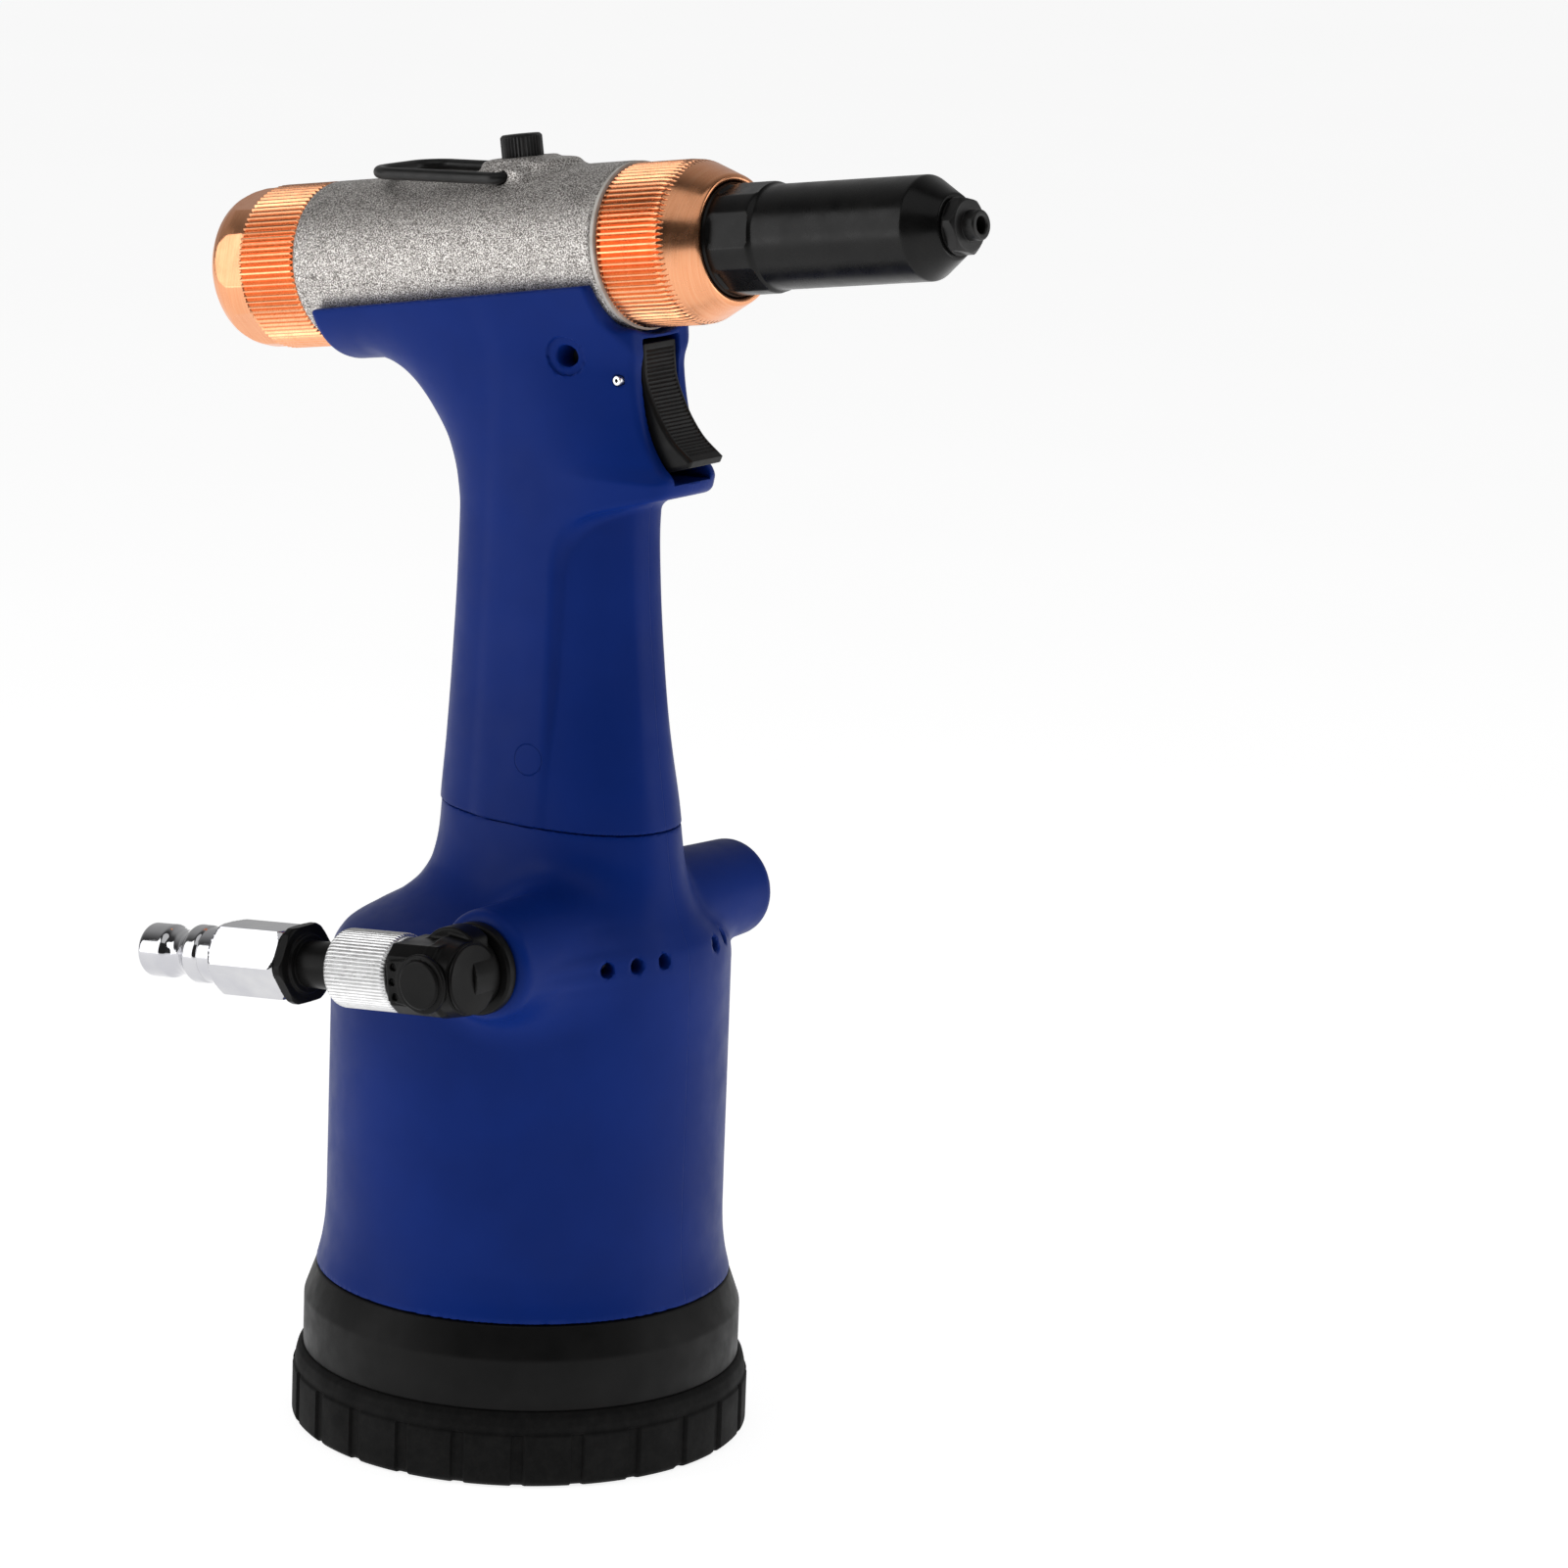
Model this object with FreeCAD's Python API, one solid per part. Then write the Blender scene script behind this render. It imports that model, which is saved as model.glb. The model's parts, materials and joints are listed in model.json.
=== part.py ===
import FreeCAD, Part
import math
import os

# Pneumatic-hydraulic blind rivet gun, millimetres.
# Origin at the centre of the base's underside, +Z up, nose towards +X, air inlet on the -Y side.

# ---------------------------------------------------------------- driving dimensions
BOOT_R = 47.5            # rubber boot, the widest round of the base
CYL_R = 41.15            # blue lower housing
CYL_BORE_R = 36.0        # air cylinder bore
LINER_R = 37.5
SEAM_Z = 33.0            # blue housing meets the black bottom cap
NECK_Z = 131.2           # grip meets the lower housing

TUBE_Z = 245.5           # height of the barrel axis above the base, at x = 0
TUBE_PITCH = 9.5         # degrees, nose up
TUBE_R = 16.9
TUBE_REAR = -54.8        # stations along the barrel axis
TUBE_FRONT = 23.2
OIL_BORE_R = 13.0
CAP_BORE_R = 14.2        # counterbores that take the rear cap and the collar

RAM_R = 6.5
ROD_R = 6.5
RUN = 0.05               # radial clearance of running fits

VALVE_X = 21.8           # cross bore that holds the shuttle valve, along Y
VALVE_Z = 109.0
BOSS_R = 10.5
FAR_BOSS_X = 21.4        # the closed boss sits a little higher than the bore
FAR_BOSS_Z = 110.4
ARM_Y = -54.0            # air line beside the housing
ARM_DROP = 6.5           # degrees the air line hangs below level at rest

PIN_X = 25.6             # trigger pivot
PIN_Z = 223.6
PIN_HALF = 8.4
TRIGGER_HALF = 5.3

HANG_S = -4.0            # hanger pivot, in barrel coordinates
HANG_W = 15.6
HANG_WIRE_R = 1.25
HANG_HALF = 10.0
HANG_LEN = 34.0
HANG_TILT = 5.2          # the loop's free end lies this much higher than its pivot

UP = FreeCAD.Vector(0, 0, 1)
FWD = FreeCAD.Vector(1, 0, 0)
SIDE = FreeCAD.Vector(0, 1, 0)


def vec(x, y, z):
    return FreeCAD.Vector(x, y, z)


def save(node, shape):
    """Write one named sub-part."""
    shape = shape.removeSplitter()
    assert shape.isValid(), node
    shape.exportStep(os.path.join("parts", node + ".step"))


def cyl(r, start, end, axis="z", x=0.0, y=0.0, z=0.0):
    """Cylinder along one axis, from start to end on it, centred on the other two."""
    length = end - start
    if axis == "z":
        return Part.makeCylinder(r, length, vec(x, y, start), UP)
    if axis == "x":
        return Part.makeCylinder(r, length, vec(start, y, z), FWD)
    return Part.makeCylinder(r, length, vec(x, start, z), SIDE)


def ring(r_out, r_in, start, end, axis="z", x=0.0, y=0.0, z=0.0):
    outer = cyl(r_out, start, end, axis, x, y, z)
    return outer.cut(cyl(r_in, start - 1, end + 1, axis, x, y, z))


def box(x0, x1, y0, y1, z0, z1):
    return Part.makeBox(x1 - x0, y1 - y0, z1 - z0, vec(x0, y0, z0))


def turned(points, axis="z"):
    """Solid of revolution from (radius, station) points, closed, about Z or X."""
    if axis == "z":
        loop = [vec(r, 0, s) for r, s in points]
        direction = UP
    else:
        loop = [vec(s, 0, r) for r, s in points]
        direction = FWD
    loop.append(loop[0])
    face = Part.Face(Part.makePolygon(loop))
    return face.revolve(vec(0, 0, 0), direction, 360)


def hexagon(flats, start, end, axis="x", turn=0.0):
    """Hexagonal bar along X or Y, by its width across flats."""
    r = flats / math.sqrt(3)
    loop = []
    for k in range(7):
        a = math.radians(turn + 60 * k)
        if axis == "x":
            loop.append(vec(start, r * math.cos(a), r * math.sin(a)))
        else:
            loop.append(vec(r * math.cos(a), start, r * math.sin(a)))
    direction = FWD if axis == "x" else SIDE
    return Part.Face(Part.makePolygon(loop)).extrude(direction * (end - start))


def spring(mean_r, wire_r, height, turns):
    """Compression spring along Z from 0 to height, measured over its end wires."""
    run = height - 2 * wire_r
    helix = Part.makeHelix(run / turns, run, mean_r)
    profile = Part.Wire(Part.makeCircle(wire_r, vec(mean_r, 0, 0), SIDE))
    coil = Part.Wire(helix).makePipeShell([profile], True, True)
    return coil.translated(vec(0, 0, wire_r))


def on_barrel(shape):
    """Move a piece drawn along X about the origin onto the barrel axis."""
    shape = shape.copy()
    shape.rotate(vec(0, 0, 0), SIDE, -TUBE_PITCH)
    shape.translate(vec(0, 0, TUBE_Z))
    return shape


def on_arm(shape):
    """Move a piece drawn along X, away from the swivel, onto the air line."""
    shape = shape.copy()
    shape.rotate(vec(0, 0, 0), UP, 180)
    shape.rotate(vec(0, 0, 0), SIDE, -ARM_DROP)
    shape.translate(vec(VALVE_X, ARM_Y, VALVE_Z))
    return shape


def section(z, rear, front, half, taper=0.0, square=2.3):
    """Closed smooth section of the handle: reach, half width, taper and squareness of its front half."""
    mid = (rear + front) / 2
    reach = (front - rear) / 2
    points = []
    for k in range(16):
        a = math.radians(22.5 * k)
        power = 2 / square if math.cos(a) > 0 else 2 / 2.3
        cx = math.copysign(abs(math.cos(a)) ** power, math.cos(a))
        sy = math.copysign(abs(math.sin(a)) ** power, math.sin(a))
        points.append(vec(mid + reach * cx, half * sy * (1 - taper * cx), z))
    curve = Part.BSplineCurve()
    curve.interpolate(points, PeriodicFlag=True)
    return Part.Wire(curve.toShape())


def loft(rows):
    return Part.makeLoft([section(*row) for row in rows], True, True)


# rows: height, rear, front, half width, taper towards the front, squareness of the front
GRIP_ROWS = [
    (NECK_Z + 0.1, -21.0, 33.8, 17.3, 0.05),
    (145, -20.0, 31.5, 16.4, 0.08),
    (162, -19.3, 29.2, 15.4, 0.10),
    (180, -18.6, 27.5, 14.6, 0.12),
    (195, -18.6, 27.3, 14.4, 0.14, 2.6),
    (204, -21.5, 29.5, 14.4, 0.17, 3.2),
    (212, -28.0, 30.0, 14.5, 0.20, 4.0),
    (219, -34.5, 29.5, 15.0, 0.20, 4.0),
    (228, -40.0, 29.0, 15.5, 0.20, 4.0),
    (238, -42.0, 28.0, 16.0, 0.20, 4.0),
]
NECK_ROWS = [
    (NECK_Z, -21.0, 33.8, 17.3, 0.05),
    (124, -21.3, 34.9, 18.0, 0.05),
    (118, -22.6, 36.5, 19.2, 0.04),
    (113.5, -25.5, 38.2, 22.0, 0.02),
    (109.5, -30.5, 39.8, 27.5, 0.0),
    (105, -37.5, 40.9, 35.8, 0.0),
    (100, -40.9, CYL_R, 40.9, 0.0),
]


# ---------------------------------------------------------------- base and air cylinder
def make_base_boot():
    """Rubber boot: floor, ribbed skirt and rounded shoulder, open at the top."""
    skin = turned([(0, 0), (BOOT_R, 0), (BOOT_R, 10.5), (BOOT_R - 0.6, 13), (45.9, 15.6),
                   (44.0, 15.6), (44.0, 3.0), (0, 3.0)])
    for k in range(24):
        a = math.radians(8.5 + 15 * k)
        groove = Part.makeCylinder(1.0, 13.0, vec(BOOT_R * math.cos(a), BOOT_R * math.sin(a), 0), UP)
        skin = skin.cut(groove)
    return skin


def make_bottom_cap():
    """Screwed bottom cap of the air cylinder."""
    return turned([(0, 3.1), (43.9, 3.1), (43.9, 15.8), (45.4, 15.8), (45.4, 26.0), (43.0, SEAM_Z),
                   (38.2, SEAM_Z), (38.2, 14.0), (0, 14.0)])


def make_housing():
    """Blue lower housing: cylinder, sloping shoulder, neck and the two cross bosses."""
    foot = turned([(0, SEAM_Z + 0.05), (43.0, SEAM_Z + 0.05), (42.0, 38), (41.3, 44), (CYL_R, 50),
                   (CYL_R, 100), (0, 100)])
    body = foot.fuse(loft(NECK_ROWS))
    near = Part.makeCone(BOSS_R + 1.5, BOSS_R, 30, vec(VALVE_X, -12, VALVE_Z), SIDE * -1)
    far = Part.makeCone(11.5, 10.2, 28.7, vec(FAR_BOSS_X, 12, FAR_BOSS_Z), SIDE)
    body = body.fuse([near, far])
    hollow = cyl(LINER_R + 0.1, SEAM_Z - 1, 101.0)
    chamber = cyl(37.3, 100.9, 103.2)
    guide = cyl(13.0, 100, 140)
    rod_way = box(14.0, 26.0, -4.0, 4.0, 112, 140)
    valve_bore = cyl(7.1, -43, 37.5, "y", x=VALVE_X, z=VALVE_Z)
    body = body.cut(hollow.fuse([chamber, guide, rod_way, valve_bore]))
    pad_room = cyl(36.6, 103.1, 112.0).common(box(29.5, 40, -24, 24, 100, 113))
    body = body.cut(pad_room)
    for angle in (-30, -20, -10, 16, 26):
        a = math.radians(angle)
        hole = Part.makeCylinder(1.6, 14, vec(30 * math.cos(a), 30 * math.sin(a), 106.5),
                                 vec(math.cos(a), math.sin(a), 0))
        body = body.cut(hole)
    return body


def make_head():
    """Cylinder head with the ram guide bore."""
    head = cyl(CYL_BORE_R - 0.02, 84.0, 92.0).fuse(cyl(LINER_R, 92.0, 97.0))
    return head.cut(cyl(RAM_R + RUN, 80, 100)).cut(cyl(8.2, 88.0, 92.0))


def make_air_piston():
    """Disc piston with a groove for its seal."""
    return turned([(4.0, 17.0), (CYL_BORE_R - RUN, 17.0), (CYL_BORE_R - RUN, 20.0), (33.0, 20.0),
                   (33.0, 24.0), (CYL_BORE_R - RUN, 24.0), (CYL_BORE_R - RUN, 27.0), (4.0, 27.0)])


def make_ram():
    """Ram rod with a reduced, threaded foot through the piston."""
    return cyl(3.95, 15.0, 27.0).fuse(cyl(RAM_R, 27.0, 170.0))


# ---------------------------------------------------------------- head casting
def make_casting():
    """Grey casting: barrel, ram column, column flange, web and the top boss."""
    barrel = on_barrel(cyl(TUBE_R, TUBE_REAR, TUBE_FRONT, "x"))
    column = cyl(10.0, 98.0, TUBE_Z)
    flange = cyl(12.5, 97.1, 103.0)
    web = box(0, 20.5, -5, 5, 221.5, 240)
    pad = turned([(0, 0), (7.0, 0), (7.0, 18.3), (6.4, 18.9), (0, 18.9)])
    pad.translate(vec(HANG_S - 1.0, 0, 0))
    ridge = box(HANG_S - 4.5, 10.0, -3.6, 3.6, 0, 18.2)
    ears = box(HANG_S - 3.2, HANG_S + 3.2, -HANG_HALF + 1.7, HANG_HALF - 1.7, 0, HANG_W + 2.6)
    shape = barrel.fuse([column, flange, web, on_barrel(pad), on_barrel(ridge), on_barrel(ears)])
    bores = cyl(OIL_BORE_R, TUBE_REAR - 1, TUBE_FRONT + 1, "x")
    bores = bores.fuse(cyl(CAP_BORE_R, TUBE_REAR - 1, -42.0, "x"))
    bores = bores.fuse(cyl(CAP_BORE_R, 20.3, TUBE_FRONT + 1, "x"))
    screw_hole = cyl(2.5, 10.0, 30.0, x=HANG_S - 1.0)
    screw_seat = cyl(4.4, 18.0, 30.0, x=HANG_S - 1.0)
    pivot = cyl(HANG_WIRE_R + RUN, 4.2, 12.0, "y", x=HANG_S, z=HANG_W)
    pivot = pivot.fuse(cyl(HANG_WIRE_R + RUN, -12.0, -4.2, "y", x=HANG_S, z=HANG_W))
    shape = shape.cut(on_barrel(bores.fuse([screw_hole, screw_seat, pivot])))
    ram_bore = cyl(RAM_R + RUN, 90, TUBE_Z - 5)
    grip_hole = cyl(1.65, -6, 6, "y", x=16.0, z=227.0)
    return shape.cut(ram_bore.fuse(grip_hole))


def make_grip():
    """Blue handle moulding: saddle under the barrel, handle, trigger guard and rod channel."""
    handle = loft(GRIP_ROWS)
    saddle = cyl(19.6, TUBE_REAR + 1.3, TUBE_FRONT - 0.7, "x")
    below = box(-70, 40, -30, 30, -30, -7.6)
    saddle = on_barrel(saddle.common(below))
    guard = loft([(199.5, 10.0, 37.6, 8.5, 0.0), (202, 10.0, 39.4, 8.8, 0.0), (204.5, 10.0, 39.4, 8.8, 0.0)])
    grip = handle.fuse([saddle, guard])
    above = on_barrel(box(-90, 60, -30, 30, -7.6, 40))
    barrel = on_barrel(cyl(TUBE_R + 0.05, -90, 60, "x"))
    front = on_barrel(box(TUBE_FRONT - 0.7, 60, -30, 30, -14, 30))
    collar_room = on_barrel(cyl(17.4, TUBE_FRONT - 0.7, 60, "x"))
    grip = grip.cut(above).cut(barrel).cut(front).cut(collar_room)
    column = cyl(12.6, 120, 245)
    rod_way = box(8.0, 25.0, -4.0, 4.0, 120, 219)
    pocket = box(14.0, 45.0, -TRIGGER_HALF - 0.3, TRIGGER_HALF + 0.3, 203.3, 220.5)
    pocket = pocket.fuse(box(20.8, 45.0, -TRIGGER_HALF - 0.3, TRIGGER_HALF + 0.3, 218.0, 231.2))
    web_room = box(0, 20.8, -5.3, 5.3, 219.5, 245)
    pin_hole = cyl(1.0, -20, 20, "y", x=PIN_X, z=PIN_Z)
    pin_face = cyl(1.5, -20, -9.5, "y", x=PIN_X, z=PIN_Z).fuse(cyl(1.5, 9.5, 20, "y", x=PIN_X, z=PIN_Z))
    screw = cyl(2.3, -20, 0, "y", x=16.0, z=227.0).fuse(cyl(3.8, -20, -13.2, "y", x=16.0, z=227.0))
    return grip.cut(column.fuse([rod_way, pocket, web_room, pin_hole, pin_face, screw]))


def make_hanger():
    """Wire loop with inturned ends, lying back along the barrel."""
    bend = 6.0
    inner = 4.6
    elbow = 1.6
    far = -HANG_LEN
    legs = []
    for side in (-1, 1):
        edge = side * HANG_HALF
        legs.append([vec(0, side * inner, 0), vec(0, edge - side * elbow, 0),
                     vec(-elbow, edge, 0), vec(far + bend, edge, 0), vec(far, edge - side * bend, 0), side])
    edges = []
    turn = 1 - math.sqrt(0.5)
    for start, straight, after, back, end, side in legs:
        edges.append(Part.LineSegment(start, straight).toShape())
        mid = vec(-elbow * turn, side * HANG_HALF - side * elbow * turn, 0)
        edges.append(Part.Arc(straight, mid, after).toShape())
        edges.append(Part.LineSegment(after, back).toShape())
        mid = vec(far + bend * turn, side * HANG_HALF - side * bend * turn, 0)
        edges.append(Part.Arc(back, mid, end).toShape())
    edges.append(Part.LineSegment(legs[0][4], legs[1][4]).toShape())
    path = Part.Wire(Part.__sortEdges__(edges))
    start = path.OrderedVertexes[0].Point
    profile = Part.Wire(Part.makeCircle(HANG_WIRE_R, start, SIDE))
    wire = path.makePipeShell([profile], True, True)
    wire.rotate(vec(0, 0, 0), SIDE, HANG_TILT)
    wire.translate(vec(HANG_S, 0, HANG_W))
    return on_barrel(wire)


def make_oil_screw():
    """Socket-head cap screw that closes the oil filling hole."""
    socket = hexagon(4.0, 0, 2.6, "x").rotated(vec(0, 0, 0), SIDE, -90).translated(vec(0, 0, 21.3))
    screw = cyl(4.25, 18.8, 23.8).cut(socket).fuse(cyl(2.45, 13.3, 18.8))
    return on_barrel(screw.translated(vec(HANG_S - 1.0, 0, 0)))


# ---------------------------------------------------------------- barrel ends and nose
def make_rear_cap():
    """Knurled end cap with a spigot into the barrel and six wrench flats."""
    shoulder = TUBE_REAR - 0.1
    cap = turned([(11.5, -42.2), (CAP_BORE_R - 0.02, -42.2), (CAP_BORE_R - 0.02, shoulder), (TUBE_R, shoulder),
                  (TUBE_R, -69.4), (16.5, -69.8), (16.4, -75.8), (15.8, -78.2), (14.2, -80.0), (12.0, -80.5),
                  (0, -80.5), (0, -74.0), (11.5, -74.0)], "x")
    flats = hexagon(31.2, -90, -69.6, "x", turn=16).fuse(cyl(20, -69.6, -40, "x"))
    return on_barrel(cap.common(flats))


def make_collar():
    """Knurled front collar with a spigot into the barrel."""
    return on_barrel(turned([(11.45, 20.4), (CAP_BORE_R - 0.02, 20.4), (CAP_BORE_R - 0.02, 24.1), (16.4, 24.1),
                             (16.4, 37.5), (15.9, 40.5), (14.9, 43.8), (13.2, 47.2), (11.9, 47.2),
                             (11.45, 46.7)], "x"))


def make_nose_housing():
    """Black nose: round tail in the collar, hexagon, sleeve and cone, bored for the jaw case."""
    shape = turned([(8.9, 28.0), (11.4, 28.0), (11.4, 46.5), (11.1, 47.0), (11.1, 57.6), (10.3, 58.6),
                    (10.3, 94.2), (6.4, 100.2), (4.1, 100.2), (4.1, 93.0), (8.9, 90.0)], "x")
    flats = hexagon(20.9, 46.5, 57.6, "x", turn=16)
    return on_barrel(shape.common(flats.fuse([cyl(20, 20, 46.5, "x"), cyl(20, 57.6, 110, "x")])))


def make_nosepiece():
    """Screwed nosepiece: threaded tail, hexagon, short nozzle and a through hole."""
    body = cyl(4.0, 89.0, 100.3, "x").fuse([cyl(5.7, 100.3, 100.9, "x"), cyl(3.0, 103.0, 106.1, "x")])
    nut = hexagon(10.4, 100.9, 103.4, "x", turn=16)
    nut = nut.common(turned([(0, 100.8), (6.0, 100.8), (6.0, 102.6), (5.2, 103.4), (0, 103.4)], "x"))
    tail = turned([(0, 88.5), (2.6, 88.5), (4.0, 90.5), (0, 90.5)], "x")
    return on_barrel(body.fuse([nut, tail]).cut(cyl(1.65, 80, 110, "x")))


def make_piston():
    """Pulling piston and its rod in one piece, with a seal groove and a blind spring seat."""
    return on_barrel(turned([(0, -14.0), (9.5, -14.0), (9.5, -19.0), (OIL_BORE_R - RUN, -19.0),
                             (OIL_BORE_R - RUN, -14.5), (10.8, -14.5), (10.8, -9.5), (OIL_BORE_R - RUN, -9.5),
                             (OIL_BORE_R - RUN, -6.0), (ROD_R, -6.0), (ROD_R, 36.0), (5.5, 36.0),
                             (5.5, 46.0), (0, 46.0)], "x"))


def make_gland():
    """Front gland that closes the oil chamber round the piston rod."""
    return on_barrel(turned([(ROD_R + RUN, 8.0), (OIL_BORE_R - 0.02, 8.0), (OIL_BORE_R - 0.02, 20.2),
                             (ROD_R + RUN, 20.2), (ROD_R + RUN, 17.0), (9.0, 17.0), (9.0, 12.0),
                             (ROD_R + RUN, 12.0)], "x"))


def make_jaw_case():
    """Sleeve screwed on the rod, with a conical seat for the jaws."""
    return on_barrel(turned([(5.52, 36.1), (8.3, 36.1), (8.3, 88.0), (3.2, 88.0), (6.2, 77.0), (6.2, 47.0),
                             (5.52, 46.0)], "x"))


def make_jaws():
    """Three wedge jaws, each a third of a cone."""
    cone = turned([(1.1, 78.0), (5.6, 78.0), (3.15, 87.0), (1.1, 87.0)], "x")
    for k in range(3):
        slot = box(70, 90, -0.35, 0.35, 0, 12)
        slot.rotate(vec(0, 0, 0), FWD, 120 * k)
        cone = cone.cut(slot)
    return on_barrel(Part.Compound(cone.Solids))


# ---------------------------------------------------------------- trigger and valve
def make_trigger():
    """Curved trigger lever with a rear arm that lifts the rod."""
    outline = [(27.4, 230.4), (28.3, 224.5), (31.4, 218.2), (35.8, 212.7), (41.3, 208.7)]
    curve = Part.BSplineCurve()
    curve.interpolate([vec(x, 0, z) for x, z in outline])
    tail = [(41.3, 208.7), (40.4, 207.3), (31.5, 205.0), (28.5, 205.6), (25.0, 213.0), (16.8, 214.8),
            (16.8, 217.6), (22.9, 218.6), (22.9, 226.2), (24.5, 230.4), (27.4, 230.4)]
    edges = [curve.toShape()]
    for (x0, z0), (x1, z1) in zip(tail, tail[1:]):
        edges.append(Part.LineSegment(vec(x0, 0, z0), vec(x1, 0, z1)).toShape())
    side = Part.Face(Part.Wire(edges))
    lever = side.extrude(SIDE * (2 * TRIGGER_HALF))
    lever.translate(vec(0, -TRIGGER_HALF, 0))
    for edge in (-10.0, 2.6):
        lever = lever.cut(box(10, 22.9, edge, edge + 7.4, 200, 226))
    return lever.cut(cyl(1.0 + RUN, -10, 10, "y", x=PIN_X, z=PIN_Z))


def make_rod():
    """Trigger rod from the trigger's arm down to the valve."""
    return cyl(1.5, 116.6, 212.9, x=19.5)


def make_spool():
    """Shuttle valve spool with three lands."""
    lands = [(4.45, -22, -16), (4.45, -4, 2), (4.45, 14, 20)]
    body = cyl(2.6, -22, 20, "y", x=VALVE_X, z=VALVE_Z)
    return body.fuse([cyl(r, a, b, "y", x=VALVE_X, z=VALVE_Z) for r, a, b in lands])


def make_valve_sleeve():
    """Ported liner of the cross bore."""
    sleeve = ring(7.0, 4.5, -34, 33, "y", x=VALVE_X, z=VALVE_Z)
    for y in (-10, 8):
        sleeve = sleeve.cut(cyl(1.6, VALVE_Z - 12, VALVE_Z + 12, x=VALVE_X, y=y))
    return sleeve


# ---------------------------------------------------------------- air line
def make_inlet_bushing():
    """Flanged bush that carries the swivel, grooved outside."""
    bush = ring(7.0, 4.0, -46.0, -34.2, "y", x=VALVE_X, z=VALVE_Z)
    collar = ring(9.4, 4.0, -45.8, -42.6, "y", x=VALVE_X, z=VALVE_Z)
    return bush.fuse(collar)


def make_elbow():
    """Swivel body: square block on the air line, round end for the plug, post and stem to the bush."""
    half = 7.1
    block = box(-1.5, 9.4, -half, half, -half, half)
    along = [e for e in block.Edges if abs(e.tangentAt(e.FirstParameter).x) > 0.9]
    block = on_arm(block.makeFillet(1.8, along).fuse(cyl(7.1, -6.0, 0, "x")))
    post = cyl(6.0, ARM_Y, ARM_Y + 7.6, "y", x=VALVE_X, z=VALVE_Z)
    cheek = cyl(8.3, -6.6, -1.7, "y", z=1.4).cut(box(-12, -5.7, -12, 12, -12, 12))
    post = post.fuse(on_arm(cheek))
    stem = cyl(3.95, ARM_Y + 7.5, -34.5, "y", x=VALVE_X, z=VALVE_Z)
    passage = on_arm(cyl(2.5, 0, 12, "x")).fuse(cyl(2.2, ARM_Y, -30, "y", x=VALVE_X, z=VALVE_Z))
    return block.fuse([post, stem]).cut(passage)


def make_side_cap():
    """Retaining disc on the outer side of the swivel, with a raised rim."""
    rim = ring(6.1, 4.8, ARM_Y - 9.0, ARM_Y - 7.15, "y", x=VALVE_X, z=VALVE_Z)
    return rim.fuse(cyl(4.9, ARM_Y - 8.5, ARM_Y - 7.15, "y", x=VALVE_X, z=VALVE_Z))


def make_stem():
    """Valve stem of the air line: tube under the sliding sleeve, and its hexagonal stop."""
    tube = cyl(4.8, 9.4, 38.4, "x")
    stop = hexagon(15.4, 36.4, 38.3, "x", turn=30).common(cyl(8.5, 36.4, 38.3, "x"))
    tail = cyl(6.0, 35.4, 36.5, "x")
    return on_arm(tube.fuse([stop, tail]).cut(cyl(2.5, 0, 60, "x")))


def make_plug():
    """Hexagon body and quick-coupling plug."""
    nut = hexagon(14.0, 39.0, 57.3, "x", turn=30)
    nut = nut.common(turned([(0, 39.0), (7.3, 39.0), (8.0, 40.0), (8.0, 56.0), (7.0, 57.3), (0, 57.3)], "x"))
    plug = turned([(0, 57.2), (5.6, 57.2), (5.6, 61.6), (6.0, 62.0), (6.0, 65.2), (5.6, 66.0), (4.6, 68.8),
                   (5.5, 71.6), (5.5, 77.2), (4.8, 77.9), (0, 77.9)], "x")
    return on_arm(nut.fuse([plug, cyl(6.6, 38.4, 39.1, "x")]).cut(cyl(3.0, 30, 80, "x")))


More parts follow.
